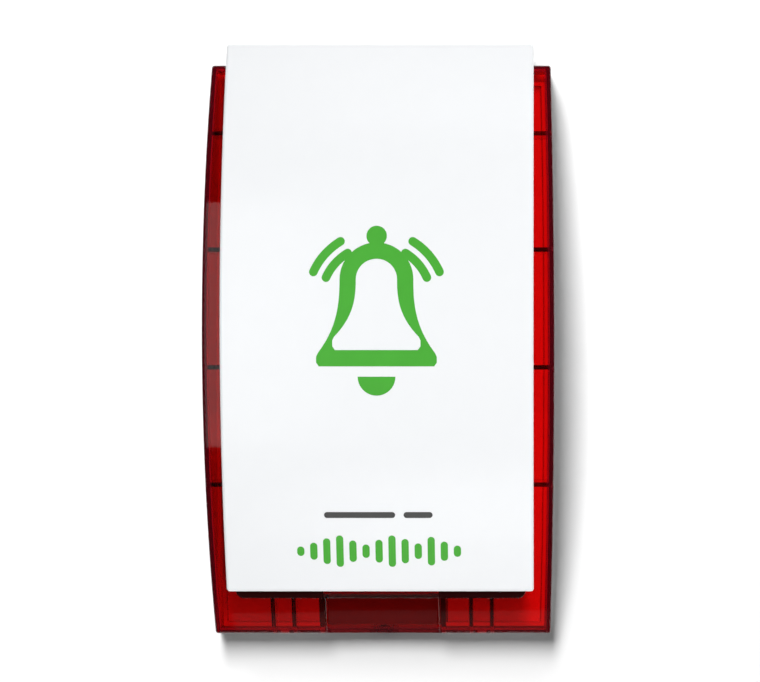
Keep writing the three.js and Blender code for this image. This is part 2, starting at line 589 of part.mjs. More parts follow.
function storageCapacitor() {
  return rodOut(0, 0, CAPACITOR.radius, 0, CAPACITOR.height);
}

// ---------------------------------------------------------------------------------------------
// Battery pack
// ---------------------------------------------------------------------------------------------

const holderFloor = PLATE.floor + GAP + HOLDER.floor;
const cellDepth = holderFloor + GAP + CELL.radius;
const cellEnds = { bottom: HOLDER.z - CELL.length / 2, top: HOLDER.z + CELL.length / 2 };

function batteryHolder() {
  const { x, z, halfWidth, halfHeight, wall, far } = HOLDER;
  const near = PLATE.floor + GAP;
  const tray = block(x - halfWidth, x + halfWidth, near, far, z - halfHeight, z + halfHeight);
  return tray.subtract(block(x - halfWidth + wall, x + halfWidth - wall, holderFloor, far + 1,
    z - halfHeight + wall, z + halfHeight - wall));
}

function batteryCell() {
  const shoulder = CELL.length - CELL.cap;
  const wrap = rodUp(0, 0, CELL.radius, 0, shoulder, 14);
  return wrap.add(rodUp(0, 0, CELL.capRadius, shoulder - SUNK, CELL.length, 8));
}

// A spring-steel strip that joins the ends of the cells.
function batteryContact(bottom) {
  const { x, halfWidth, wall, far } = HOLDER;
  const reach = halfWidth - wall - GAP;
  const [near, front] = [holderFloor + CONTACT.rise, far - CONTACT.drop];
  return block(x - reach, x + reach, near, front, bottom, bottom + CONTACT.thickness);
}

function batteryRetainer() {
  const { x, z, halfWidth, wall, far } = HOLDER;
  const front = cellDepth + CELL.radius + GAP;
  const [bottom, top] = [z - RETAINER.halfHeight, z + RETAINER.halfHeight];
  const bar = block(x - halfWidth, x + halfWidth, front, front + RETAINER.thickness, bottom, top);
  const legs = bothSides((s) => {
    const edges = [x + s * halfWidth, x + s * (halfWidth - wall)].sort((a, b) => a - b);
    return block(edges[0], edges[1], far + GAP, front + 1, bottom, top);
  });
  return joined([bar, ...legs]);
}

// ---------------------------------------------------------------------------------------------
// Siren
// ---------------------------------------------------------------------------------------------

// The horn's outline: a round driver chamber that opens into a flare down to the mouth.
function hornOutline(inset) {
  const radius = HORN.radius - inset;
  const neck = HORN.neckHalf - inset;
  const mouth = HORN.mouthHalf - inset;
  const arcStart = Math.asin(Math.min(neck / radius, 1));
  const sweep = 2 * (Math.PI - arcStart);
  const chamber = Array.from({ length: HORN.sides + 1 }, (_, i) => {
    const angle = -Math.PI / 2 + arcStart + (sweep * i) / HORN.sides;
    return new THREE.Vector2(radius * Math.cos(angle), HORN.driverZ + radius * Math.sin(angle));
  });
  const flare = (side) => FLARE.steps.map((t) => new THREE.Vector2(
    side * (neck + (mouth - neck) * t ** FLARE.power), HORN.neckZ + (HORN.mouthZ - HORN.neckZ) * t));
  const beyond = HORN.mouthZ - 5;
  const openMouth = inset > 0 ? [new THREE.Vector2(-mouth, beyond), new THREE.Vector2(mouth, beyond)] : [];
  return new THREE.Shape([...flare(-1).reverse(), ...openMouth, ...flare(1), ...chamber]);
}

function hornEars(near, far) {
  return HORN_SCREWS.map(([x, z]) => rodOut(x, z, HORN_SCREW.ear, near, far, 14));
}

function hornBody() {
  const outer = slab(hornOutline(0), HORN.near, HORN.lidNear - GAP);
  const inner = slab(hornOutline(HORN.wall), HORN.near + HORN.wall, FAR_AWAY);
  const ears = joined(hornEars(HORN.near, HORN.lidNear - GAP)).subtract(inner);
  const shell = outer.subtract(inner).add(ears);
  const { pilot, pilotNear } = HORN_SCREW;
  return without(shell, HORN_SCREWS.map(([x, z]) => rodOut(x, z, pilot, pilotNear, FAR_AWAY, 8)));
}

function hornLid() {
  const plate = slab(hornOutline(0), HORN.lidNear, HORN.far);
  const whole = joined([plate, ...hornEars(HORN.lidNear, HORN.far)]);
  return without(whole, HORN_SCREWS.map(([x, z]) => rodOut(x, z, HORN_SCREW.clearance, 0, FAR_AWAY, 8)));
}

function sirenDriver() {
  const near = HORN.near + HORN.wall + GAP;
  const far = near + DRIVER.height;
  const can = rodOut(0, HORN.driverZ, DRIVER.radius, near, far, 20);
  const throat = rodOut(0, HORN.driverZ, DRIVER.throat, near + DRIVER.throatNear, far + 1, 18);
  return can.subtract(throat);
}

function piezoDisc() {
  const near = HORN.near + HORN.wall + GAP + DRIVER.throatNear + GAP;
  return rodOut(0, HORN.driverZ, PIEZO.radius, near, near + PIEZO.thickness, 18);
}

// A perforated plate across the mouth keeps insects out.
function sirenGrille() {
  const { thickness, inset, rise, columns, rows, bar } = GRILLE;
  const half = HORN.mouthHalf - HORN.wall - inset;
  const near = HORN.near + HORN.wall + GAP;
  const far = HORN.lidNear - 2 * GAP;
  const bottom = HORN.mouthZ + rise;
  const plate = block(-half, half, near, far, bottom, bottom + thickness);
  const [cellWide, cellDeep] = [(2 * half - bar) / columns, (far - near - bar) / rows];
  const holes = [];
  for (let c = 0; c < columns; c += 1) {
    for (let r = 0; r < rows; r += 1) {
      const [left, start] = [-half + bar + c * cellWide, near + bar + r * cellDeep];
      const [right, end] = [left + cellWide - bar, start + cellDeep - bar];
      holes.push(block(left, right, start, end, bottom - 1, bottom + thickness + 1));
    }
  }
  return without(plate, holes);
}

// ---------------------------------------------------------------------------------------------
// Beacon, tamper switches and leads
// ---------------------------------------------------------------------------------------------

function strobeBoard(side) {
  return sideBlock(side, STROBE.inner, STROBE.outer, STROBE.near, STROBE.near + STROBE.thickness,
    STROBE.bottom, STROBE.top);
}

function strobeLed() {
  const base = block(-LED.half, LED.half, 0, LED.base, -LED.half, LED.half);
  const profile = LED.dome.map(([radius, height]) => new THREE.Vector2(radius, height));
  const dome = new THREE.LatheGeometry(profile, 12);
  dome.rotateX(Math.PI);
  dome.translate(0, SUNK - LED.base, 0);
  return base.add(solidOf(dome));
}

function coverTamperSwitch() {
  const { x, z, half, near, far, bore, boreNear } = COVER_TAMPER;
  const housing = block(x - half, x + half, near, far, z - half, z + half);
  return housing.subtract(rodOut(x, z, bore, boreNear, FAR_AWAY));
}

function wallTamperSwitch() {
  const { x, z, half, near, far, bore, boreFar } = WALL_TAMPER;
  const housing = block(x - half, x + half, near, far, z - half, z + half);
  return housing.subtract(rodOut(x, z, bore, -1, boreFar));
}

function plunger(place, { radius, near, far }) {
  return rodOut(place.x, place.z, radius, near, far);
}

class Helix extends THREE.Curve {
  constructor(length) {
    super();
    this.length = length;
  }

  getPoint(t, target = new THREE.Vector3()) {
    const angle = t * SPRING.turns * 2 * Math.PI;
    return target.set(SPRING.radius * Math.cos(angle), -t * this.length, SPRING.radius * Math.sin(angle));
  }
}

// A coil spring that runs out from the wall, with its first coil at the origin.
function coilSpring(length) {
  const steps = SPRING.turns * SPRING.stepsPerTurn;
  const options = { extrudePath: new Helix(length - 2 * SPRING.wire), steps, bevelEnabled: false };
  const geometry = new THREE.ExtrudeGeometry(disc(SPRING.wire, SPRING.sides), options);
  geometry.translate(0, -SPRING.wire, 0);
  return solidOf(geometry);
}

// A two-core lead with its plug on the board.
function lead(points) {
  const [x, depth, z] = points[0];
  const { radius, steps, plugHalfWidth, plugHalfHeight, plugRise } = LEAD;
  const plug = block(x - plugHalfWidth, x + plugHalfWidth, onBoard, depth + plugRise,
    z - plugHalfHeight, z + plugHalfHeight);
  return plug.add(wire(points, radius, steps));
}

// ---------------------------------------------------------------------------------------------
// Assembly
// ---------------------------------------------------------------------------------------------

const siren = new THREE.Group();
const basePlate = new THREE.Group();
const hingedCover = new THREE.Group();
siren.add(basePlate, hingedCover);

// Adds one piece at its place, turned about the vertical by turn.
function addPiece(parent, name, solid, material, { x = 0, depth = 0, z = 0, turn = 0 } = {}) {
  const mesh = new THREE.Mesh(geometryOf(solid), material);
  mesh.name = name;
  mesh.position.set(x, -depth, z);
  mesh.rotation.z = turn;
  parent.add(mesh);
}

addPiece(basePlate, 'back_plate', backPlate(), WHITE_BASE);
addPiece(basePlate, 'cable_grommet', cableGrommet(), BLACK_RUBBER);
addPiece(basePlate, 'lock_insert', threadedInsert(), BRASS);
for (const [label, side] of [['left', -1], ['right', 1]]) {
  const half = HINGE.knuckle / 2 + HINGE.ear + 1;
  const pin = rodAcross(0, 0, HINGE.pin, -half, half, 14);
  const place = { x: side * HINGE.x, depth: HINGE.depth, z: HINGE.z };
  addPiece(basePlate, `hinge_pin_${label}`, pin, STEEL, place);
}

addPiece(basePlate, 'main_circuit_board', mainBoard(), GREEN_BOARD);
addPiece(basePlate, 'terminal_block', terminalBlock(), TERMINAL_GREEN);
addPiece(basePlate, 'radio_module', radioModule(), STEEL);
addPiece(basePlate, 'antenna', antenna(), BRASS);
addPiece(basePlate, 'learn_switch', learnSwitch(), BLACK_PLASTIC);
addPiece(basePlate, 'learn_button', learnButton(), RED_NYLON);
addPiece(basePlate, 'storage_capacitor', storageCapacitor(), BLACK_PLASTIC,
  { x: CAPACITOR.x, depth: onBoard, z: CAPACITOR.z });
boardFixingPlaces().forEach(({ x, z }, i) => {
  const place = { x, depth: boardFace + GAP, z, turn: Math.PI };
  addPiece(basePlate, `board_screw_${i + 1}`, panScrew(SMALL_SCREW), STEEL, place);
});

addPiece(basePlate, 'battery_holder', batteryHolder(), BLACK_PLASTIC);
for (let i = 0; i < CELL.count; i += 1) {
  const x = HOLDER.x + (i - (CELL.count - 1) / 2) * CELL.pitch;
  const place = { x, depth: cellDepth, z: cellEnds.bottom };
  addPiece(basePlate, `battery_cell_${i + 1}`, batteryCell(), CELL_WRAP, place);
}
addPiece(basePlate, 'battery_contact_top', batteryContact(cellEnds.top + CONTACT.endGap), STEEL);
addPiece(basePlate, 'battery_contact_bottom',
  batteryContact(cellEnds.bottom - CONTACT.endGap - CONTACT.thickness), STEEL);
addPiece(basePlate, 'battery_retainer', batteryRetainer(), BLACK_PLASTIC);

addPiece(basePlate, 'siren_horn', hornBody(), BLACK_PLASTIC);
addPiece(basePlate, 'siren_horn_lid', hornLid(), BLACK_PLASTIC);
addPiece(basePlate, 'siren_driver', sirenDriver(), BLACK_PLASTIC);
addPiece(basePlate, 'piezo_disc', piezoDisc(), BRASS);
addPiece(basePlate, 'siren_grille', sirenGrille(), BLACK_PLASTIC);
HORN_SCREWS.forEach(([x, z], i) => {
  const place = { x, depth: HORN.far + GAP, z, turn: Math.PI };
  addPiece(basePlate, `horn_screw_${i + 1}`, panScrew(SMALL_SCREW), STEEL, place);
});

for (const [label, side] of [['left', -1], ['right', 1]]) {
  const x = side * (STROBE.inner + STROBE.outer) / 2;
  const depth = STROBE.near + STROBE.thickness + GAP;
  addPiece(basePlate, `strobe_board_${label}`, strobeBoard(side), WHITE_BOARD);
  STROBE_LEDS.forEach((z, i) => {
    const place = { x, depth, z };
    addPiece(basePlate, `strobe_led_${label}_${i + 1}`, strobeLed(), LED_YELLOW, place);
  });
}

addPiece(basePlate, 'cover_tamper_switch', coverTamperSwitch(), BLACK_PLASTIC);
addPiece(basePlate, 'cover_tamper_plunger', plunger(COVER_TAMPER, COVER_PLUNGER), WHITE_PLASTIC);
addPiece(basePlate, 'cover_tamper_spring', coilSpring(COVER_TAMPER.spring), STEEL,
  { x: COVER_TAMPER.x, depth: COVER_TAMPER.boreNear + GAP, z: COVER_TAMPER.z });
addPiece(basePlate, 'wall_tamper_switch', wallTamperSwitch(), BLACK_PLASTIC);
addPiece(basePlate, 'wall_tamper_plunger', plunger(WALL_TAMPER, WALL_PLUNGER), WHITE_PLASTIC);
addPiece(basePlate, 'wall_tamper_spring', coilSpring(WALL_TAMPER.spring), STEEL,
  { x: WALL_TAMPER.x, depth: WALL_PLUNGER.far + GAP, z: WALL_TAMPER.z });
for (const [name, points] of Object.entries(LEADS)) {
  addPiece(basePlate, name, lead(points), RED_NYLON);
}

addPiece(hingedCover, 'lens', lens(), RED_LENS);
addPiece(hingedCover, 'cover_gasket', coverGasket(), BLACK_RUBBER);
addPiece(hingedCover, 'front_cover', frontCover(), WHITE_COVER);
coverBossPlaces().forEach(({ x, z }, i) => {
  const place = { x, depth: padNear(z) - GAP, z };
  addPiece(hingedCover, `cover_screw_${i + 1}`, panScrew(COVER_SCREW), STEEL, place);
});
addPiece(hingedCover, 'lock_washer', lockWasher(), BLACK_RUBBER);
addPiece(hingedCover, 'lock_screw', lockScrew(), STEEL);

export default siren;
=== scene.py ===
"""Dresses the alarm siren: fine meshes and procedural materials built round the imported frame.

Sizes are in millimetres. x runs across, z up, and depth out from the wall, so y = -depth.
"""

import json
import math

import bmesh
import bpy
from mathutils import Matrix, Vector

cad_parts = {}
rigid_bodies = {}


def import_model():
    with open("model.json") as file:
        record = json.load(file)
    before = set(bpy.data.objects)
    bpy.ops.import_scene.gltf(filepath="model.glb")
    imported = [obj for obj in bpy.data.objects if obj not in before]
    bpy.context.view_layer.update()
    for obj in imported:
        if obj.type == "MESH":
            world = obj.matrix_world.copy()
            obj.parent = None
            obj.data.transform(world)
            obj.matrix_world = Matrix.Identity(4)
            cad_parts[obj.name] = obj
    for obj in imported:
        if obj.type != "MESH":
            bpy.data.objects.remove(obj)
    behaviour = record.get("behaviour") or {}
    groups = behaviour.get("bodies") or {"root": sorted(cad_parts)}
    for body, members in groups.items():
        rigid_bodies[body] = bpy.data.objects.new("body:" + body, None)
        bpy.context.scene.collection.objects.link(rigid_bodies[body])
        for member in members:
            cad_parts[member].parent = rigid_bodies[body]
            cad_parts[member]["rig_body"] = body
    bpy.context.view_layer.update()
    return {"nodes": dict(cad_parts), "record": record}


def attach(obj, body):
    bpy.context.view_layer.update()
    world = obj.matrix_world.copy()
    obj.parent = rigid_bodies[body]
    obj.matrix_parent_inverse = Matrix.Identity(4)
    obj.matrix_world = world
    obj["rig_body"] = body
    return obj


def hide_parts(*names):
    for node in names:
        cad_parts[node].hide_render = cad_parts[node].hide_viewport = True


# ----------------------------------------------------------
# Dimensions
# ----------------------------------------------------------

MM = 0.001
FAR = 260

ARCH_DROP, ARCH_HALF_HEIGHT = 34, 148.1
STATION_STEP = 6
SIDE_STATIONS = 46

COVER_HALF_WIDTH, COVER_HALF_HEIGHT, COVER_CROWN = 83, 148.1, 80
COVER_SKIN, COVER_RIM, COVER_RIM_DEPTH, COVER_EDGE = 3, 2.8, 3, 1.7
ROOF_THICKNESS, ROOF_REAR = 3, 11

LENS_TOP, LENS_BOTTOM = 137.4, -173.6
LENS_HALF_MIDDLE, LENS_HALF_END = 94.2, 92.2
LENS_CROWN, LENS_WALL, LENS_REAR, LENS_EDGE = 66, 2.5, 1, 1.5
LENS_TOP_REAR = 4
SIDE_RIB_HEIGHTS = (99.2, 36.2, -26.6, -89.7)
SIDE_RIB_THICKNESS, SIDE_RIB_INNER, SIDE_RIB_REAR = 2.4, 70, 18
BAY_RIB_PLACES, BAY_RIB_THICKNESS = (48.6, 60), 2.2
BAY_RIB_TOP, BAY_RIB_REAR = -146, 10
DISH_HALF_WIDTH, DISH_WALL, DISH_RECESS, DISH_TOP = 31.4, 3.2, 4, -152.4
DISH_FILLET, DISH_BOW, DIVIDER_REAR, DIVIDER_STEP = 1.6, 0.8, 9.5, 0.6
DISH_CUT_FRONT, CAVITY_REAR, CAVITY_EDGE = 30, -2, 0.8
RIB_SUNK, RIB_EDGE, SMALLEST_EDGE = 1.2, 0.5, 0.02
WEEP_PLACE, WEEP_HALF, WEEP_NEAR, WEEP_FAR = 54.3, 2.5, 9.5, 15.5
NOTCH_INNER, NOTCH_OUTER, NOTCH_FAR = 8, 30, 6.5

PLINTH_HALF_WIDTH, PLINTH_TOP, PLINTH_BOTTOM, PLINTH_CORNER = 78.6, 131, -152.4, 4
PLINTH_PROFILE = (
    (0, 65), (0, 73.9), (0.5, 74.4), (5.6, 74.4), (6, 74), (6, 72.4), (2.5, 72.4), (2.5, 65),
)
GASKET_PROFILE = (
    (0.7, 74.7), (0.3, 75.1), (0.3, 76.3), (0.7, 76.7), (5.2, 76.7), (5.6, 76.3), (5.6, 75.1), (5.2, 74.7),
)
GASKET_BREAK = -147.6

BOSS_PLACES = ((-62, 112), (62, 112), (-62, -128), (62, -128))
BOSS_RADIUS, PAD_RADIUS, PAD_BACK, PAD_FRONT, BOSS_HOLE = 4, 4.5, 6, 1.7, 1.9
PAD_EDGE, BOSS_EDGE, BOSS_GAP, BOSS_PILOT = 0.4, 0.3, 0.3, 8
HINGE_DEPTH, HINGE_Z, HINGE_X = 11, 141.2, 55
HINGE_RADIUS, HINGE_BORE, KNUCKLE, KNUCKLE_EDGE = 3.1, 1.8, 6, 0.3
KNUCKLE_ROOT_NEAR, KNUCKLE_ROOT_FAR, KNUCKLE_ROOT_LOW = 8.4, 13.6, LENS_TOP - 1.4
# Dark strips behind the dividers and ribs, whose colour paints the shade seen along them
RIB_SHADE_NEAR, RIB_SHADE_GAP, RIB_SHADE_HALF = 3.25, 0.25, 0.35
RIB_SHADE_BOTTOM, RIB_SHADE_TOP = LENS_BOTTOM + 5.8, BAY_RIB_TOP - 2
# A dark sheet behind the dished bay, whose colour paints shade there
SHADE_GAP, SHADE_THICKNESS, SHADE_HALF_WIDTH = 0.4, 0.8, DISH_HALF_WIDTH - 0.5
SHADE_BOTTOM, SHADE_TOP = LENS_BOTTOM + 5, DISH_TOP + 1.5
LOCK_DEPTH, LOCK_BOSS, LOCK_BOSS_TOP, LOCK_EDGE = 8.6, 5.4, -166.5, 0.4
LOCK_COUNTERBORE, LOCK_SEAT, LOCK_HOLE = 3.95, -167.7, 2.4
TAMPER_X, TAMPER_Z, TAMPER_POST, TAMPER_TIP, TAMPER_EDGE = 50, -100, 3, 24, 0.5

# ----------------------------------------------------------
# Mesh helpers
# ----------------------------------------------------------


def point(x, depth, z):
    return Vector((x * MM, -depth * MM, z * MM))


def arch(crown, z):
    """Depth of an arched surface that is crown deep at the middle of the front cover."""
    return crown - ARCH_DROP * (z / ARCH_HALF_HEIGHT) ** 2


def spread(start, end, count):
    """Evenly spaced numbers from start to end, both included."""
    return [start + (end - start) * i / count for i in range(count + 1)]


def to_object(name, shape):
    """Turns a bmesh into an object in the scene, with its faces turned outwards."""
    bmesh.ops.recalc_face_normals(shape, faces=shape.faces)
    mesh = bpy.data.meshes.new(name)
    shape.to_mesh(mesh)
    shape.free()
    made = bpy.data.objects.new(name, mesh)
    bpy.context.scene.collection.objects.link(made)
    return made


def skin(name, rings):
    """A closed solid through rings of equal length, each a list of vectors."""
    shape = bmesh.new()
    rows = [[shape.verts.new(p) for p in ring] for ring in rings]
    for low, high in zip(rows, rows[1:]):
        for i in range(len(low)):
            j = (i + 1) % len(low)
            shape.faces.new((low[i], low[j], high[j], high[i]))
    shape.faces.new(rows[0][::-1])
    shape.faces.new(rows[-1])
    return to_object(name, shape)


def loft(name, rings):
    """The same through rings of (x, depth, z)."""
    return skin(name, [[point(*p) for p in ring] for ring in rings])


def box(name, left, right, near, far, bottom, top):
    outline = ((left, near), (right, near), (right, far), (left, far))
    return loft(name, [[(x, depth, z) for x, depth in outline] for z in (bottom, top)])


def side_box(name, side, inner, outer, near, far, bottom, top):
    """The same beside the middle, on the left where side is -1 and on the right where it is 1."""
    left, right = sorted((side * inner, side * outer))
    return box(name, left, right, near, far, bottom, top)


def circle(radius, count=40):
    angles = [2 * math.pi * i / count for i in range(count)]
    return [(radius * math.cos(a), radius * math.sin(a)) for a in angles]


def turned(name, profile, place, count=40):
    """A solid of revolution about a line out from the wall. The profile lists (radius, depth)."""
    x, z = place
    rings = [[(x + u, depth, z + v) for u, v in circle(radius, count)] for radius, depth in profile]
    return loft(name, rings)


def turned_up(name, profile, place, count=40):
    """A solid of revolution about an upright line. The profile lists (radius, z)."""
    x, depth = place
    rings = [[(x + u, depth + v, z) for u, v in circle(radius, count)] for radius, z in profile]
    return loft(name, rings)


def turned_across(name, profile, place, count=40):
    """A solid of revolution about a line across the object. The profile lists (radius, x)."""
    depth, z = place
    rings = [[(x, depth + u, z + v) for u, v in circle(radius, count)] for radius, x in profile]
    return loft(name, rings)


def prism(name, outline, near, far):
    """An outline of (x, z) drawn out from the wall."""
    return loft(name, [[(x, depth, z) for x, z in outline] for depth in (near, far)])


def combine(target, operation, *tools):
    """Joins, cuts or crosses target with each tool, and removes the tools."""
    for tool in tools:
        modifier = target.modifiers.new("combine", "BOOLEAN")
        modifier.operation = operation
        modifier.solver = "MANIFOLD"
        modifier.object = tool
        graph = bpy.context.evaluated_depsgraph_get()
        result = bpy.data.meshes.new_from_object(target.evaluated_get(graph))
        target.modifiers.clear()
        old = target.data
        target.data = result
        bpy.data.meshes.remove(old)
        bpy.data.meshes.remove(tool.data)
    return target


def smooth(made, angle=32):
    made.data.polygons.foreach_set("use_smooth", [True] * len(made.data.polygons))
    made.data.set_sharp_from_angle(angle=math.radians(angle))
    weighted = made.modifiers.new("weighted normals", "WEIGHTED_NORMAL")
    weighted.keep_sharp = True
    return made


def soften(made, width):
    """Rounds every sharp edge by width."""
    bevel = made.modifiers.new("bevel", "BEVEL")
    bevel.width = width * MM
    bevel.segments = 3
    bevel.limit_method = "ANGLE"
    bevel.angle_limit = math.radians(40)
    return smooth(made)


def dress(made, body, material):
    """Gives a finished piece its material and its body."""
    made.data.materials.clear()
    made.data.materials.append(material)
    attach(made, body)
    return made


# ----------------------------------------------------------
# Arched shapes
# ----------------------------------------------------------


def lens_half_width(z):
    middle = (LENS_TOP + LENS_BOTTOM) / 2
    reach = (LENS_TOP - LENS_BOTTOM) / 2
    return LENS_HALF_MIDDLE - (LENS_HALF_MIDDLE - LENS_HALF_END) * ((z - middle) / reach) ** 2


def rounded_stations(bottom, top, radius, steps=5):
    """Heights from bottom to top, with how far the outline shrinks at each to round the ends."""
    angles = [math.pi / 2 * i / steps for i in range(steps, 0, -1)]
    low = [(bottom + radius * (1 - math.sin(a)), radius * (1 - math.cos(a))) for a in angles]
    count = max(1, round((top - bottom) / STATION_STEP))
    middle = [(z, 0) for z in spread(bottom + radius, top - radius, count)]
    high = [(top - radius * (1 - math.sin(a)), radius * (1 - math.cos(a))) for a in reversed(angles)]
    return low + middle + high


def arched_hull(name, half_width, crown, bottom, top, rear, radius):
    """A block with an arched front whose front, side, top and bottom edges are rounded."""
    rings = []
    for z, shrink in rounded_stations(bottom, top, radius):
        width = half_width(z) - shrink
        front = arch(crown, z) - shrink
        corner = max(radius - shrink, SMALLEST_EDGE)
        left = [
            (corner - width - corner * math.cos(a), front - corner + corner * math.sin(a))
            for a in spread(0, math.pi / 2, 5)
        ]
        right = [(-x, depth) for x, depth in reversed(left)]
        outline = [(-width, rear), *left, *right, (width, rear)]
        rings.append([(x, depth, z) for x, depth in outline])
    return loft(name, rings)


def arched_band(name, half_width, near_crown, far_crown, bottom, top, step=STATION_STEP):
    """The space between two arches."""
    rings = []
    for z in spread(bottom, top, max(1, round((top - bottom) / step))):
        near, far = arch(near_crown, z), arch(far_crown, z)
        outline = ((-half_width, near), (half_width, near), (half_width, far), (-half_width, far))
        rings.append([(x, depth, z) for x, depth in outline])
    return loft(name, rings)


def rounded_outline(left, right, bottom, top, radius, turn_steps=8, side_count=1):
    """A rounded rectangle as (x, z), with points along its upright sides so that it can follow the arch."""
    centres = ((right, top, 0), (left, top, 1), (left, bottom, 2), (right, bottom, 3))
    outline = []
    for x, z, quarter in centres:
        cx = x - radius if x == right else x + radius
        cz = z - radius if z == top else z + radius
        for i in range(turn_steps + 1):
            a = math.pi / 2 * (quarter + i / turn_steps)
            outline.append((cx + radius * math.cos(a), cz + radius * math.sin(a)))
        if quarter in (1, 3):
            end = bottom + radius if quarter == 1 else top - radius
            side = spread(cz, end, side_count)[1:-1]
            outline += [(x, height) for height in side]
    return outline


def swept_ring(name, profile):
    """A frame round the plinth's outline. The profile lists (inset, crown)."""
    shape = bmesh.new()
    loops = []
    for inset, crown in profile:
        outline = rounded_outline(
            inset - PLINTH_HALF_WIDTH, PLINTH_HALF_WIDTH - inset,
            PLINTH_BOTTOM + inset, PLINTH_TOP - inset, max(PLINTH_CORNER - inset, 0.6),
            side_count=SIDE_STATIONS,
        )
        loops.append([shape.verts.new(point(x, arch(crown, z), z)) for x, z in outline])
    for k, loop in enumerate(loops):
        following = loops[(k + 1) % len(loops)]
        for i in range(len(loop)):
            j = (i + 1) % len(loop)
            shape.faces.new((loop[i], loop[j], following[j], following[i]))
    return to_object(name, shape)


# ----------------------------------------------------------
# Lens
# ----------------------------------------------------------


def dish_cut():
    """The hollow in the middle of the lower bay, rounded into its side walls."""
    flat = DISH_HALF_WIDTH - DISH_FILLET
    rise = [
        (DISH_HALF_WIDTH - DISH_FILLET * (1 - math.cos(a)), DISH_FILLET * (1 - math.sin(a)))
        for a in spread(0, math.pi / 2, 4)
    ]
    bow = [(x, DISH_BOW * (x / flat) ** 2) for x in spread(flat, -flat, 12)]
    rings = []
    for z in spread(LENS_BOTTOM - 4, DISH_TOP, 10):
        floor = arch(LENS_CROWN, z) - DISH_RECESS
        right = [(DISH_HALF_WIDTH, floor + DISH_CUT_FRONT)]
        right += [(x, floor + up + DISH_BOW) for x, up in rise[:-1]]
        left = [(-x, depth) for x, depth in reversed(right)]
        outline = right + [(x, floor + up) for x, up in bow] + left
        rings.append([(x, depth, z) for x, depth in outline])
    return loft("dish cut", rings)


def lens_cavity():
    wall = LENS_WALL
    inner = arched_hull(
        "lens cavity", lambda z: lens_half_width(z) - wall, LENS_CROWN - wall,
        LENS_BOTTOM + wall, LENS_TOP - wall, CAVITY_REAR, CAVITY_EDGE,
    )
    dish_top = DISH_TOP + wall
    dish_half = DISH_HALF_WIDTH + DISH_WALL
    behind = arched_band(
        "dish wall", dish_half, LENS_CROWN - wall - DISH_RECESS, LENS_CROWN + 20, LENS_BOTTOM - 2, dish_top,
    )
    return combine(inner, "DIFFERENCE", behind)


def lens_ribs():
    """Every rib of the lens, running a little way into its walls."""
    hull = arched_hull(
        "ribs", lambda z: lens_half_width(z) - RIB_SUNK, LENS_CROWN - RIB_SUNK,
        LENS_BOTTOM + RIB_SUNK, LENS_TOP - RIB_SUNK, LENS_REAR + 1, RIB_EDGE,
    )
    half = SIDE_RIB_THICKNESS / 2
    bay_half = BAY_RIB_THICKNESS / 2
    ribs = None
    for side in (-1, 1):
        parts = [
            side_box("rib", side, SIDE_RIB_INNER, FAR, SIDE_RIB_REAR, FAR, z - half, z + half)
            for z in SIDE_RIB_HEIGHTS
        ]
        parts += [
            side_box("rib", side, x - bay_half, x + bay_half, BAY_RIB_REAR, FAR, LENS_BOTTOM, BAY_RIB_TOP)
            for x in BAY_RIB_PLACES
        ]
        inner, outer = DISH_HALF_WIDTH + DIVIDER_STEP, DISH_HALF_WIDTH + DISH_WALL
        parts.append(side_box("rib", side, inner, outer, DIVIDER_REAR, FAR, LENS_BOTTOM, BAY_RIB_TOP))
        for part in parts:
            ribs = part if ribs is None else combine(ribs, "UNION", part)
    return combine(ribs, "INTERSECT", hull)


def lens_knuckle(side):
    start, end = side * HINGE_X - KNUCKLE / 2, side * HINGE_X + KNUCKLE / 2
    profile = (
        (HINGE_RADIUS - KNUCKLE_EDGE, start), (HINGE_RADIUS, start + KNUCKLE_EDGE),
        (HINGE_RADIUS, end - KNUCKLE_EDGE), (HINGE_RADIUS - KNUCKLE_EDGE, end),
    )
    barrel = turned_across("knuckle", profile, (HINGE_DEPTH, HINGE_Z))
    root = box("root", start, end, KNUCKLE_ROOT_NEAR, KNUCKLE_ROOT_FAR, KNUCKLE_ROOT_LOW, HINGE_Z)
    return combine(barrel, "UNION", root)


def screw_pad(x, z):
    near, far = arch(LENS_CROWN, z) - PAD_BACK, arch(LENS_CROWN, z) + PAD_FRONT
    profile = ((PAD_RADIUS - PAD_EDGE, near), (PAD_RADIUS, near + PAD_EDGE), (PAD_RADIUS, far))
    return turned("pad", profile, (x, z))


def tamper_post():
    profile = (
        (TAMPER_POST - TAMPER_EDGE, TAMPER_TIP), (TAMPER_POST, TAMPER_TIP + TAMPER_EDGE),
        (TAMPER_POST, arch(LENS_CROWN, TAMPER_Z) - 1),
    )
    return turned("post", profile, (TAMPER_X, TAMPER_Z))


def lock_boss():
    profile = (
        (LOCK_BOSS, LENS_BOTTOM + LOCK_EDGE), (LOCK_BOSS, LOCK_BOSS_TOP - LOCK_EDGE),
        (LOCK_BOSS - LOCK_EDGE, LOCK_BOSS_TOP),
    )
    return turned_up("boss", profile, (0, LOCK_DEPTH))


def lens_additions():
    pads = [screw_pad(x, z) for x, z in BOSS_PLACES]
    return [*pads, tamper_post(), lock_boss(), lens_knuckle(-1), lens_knuckle(1)]


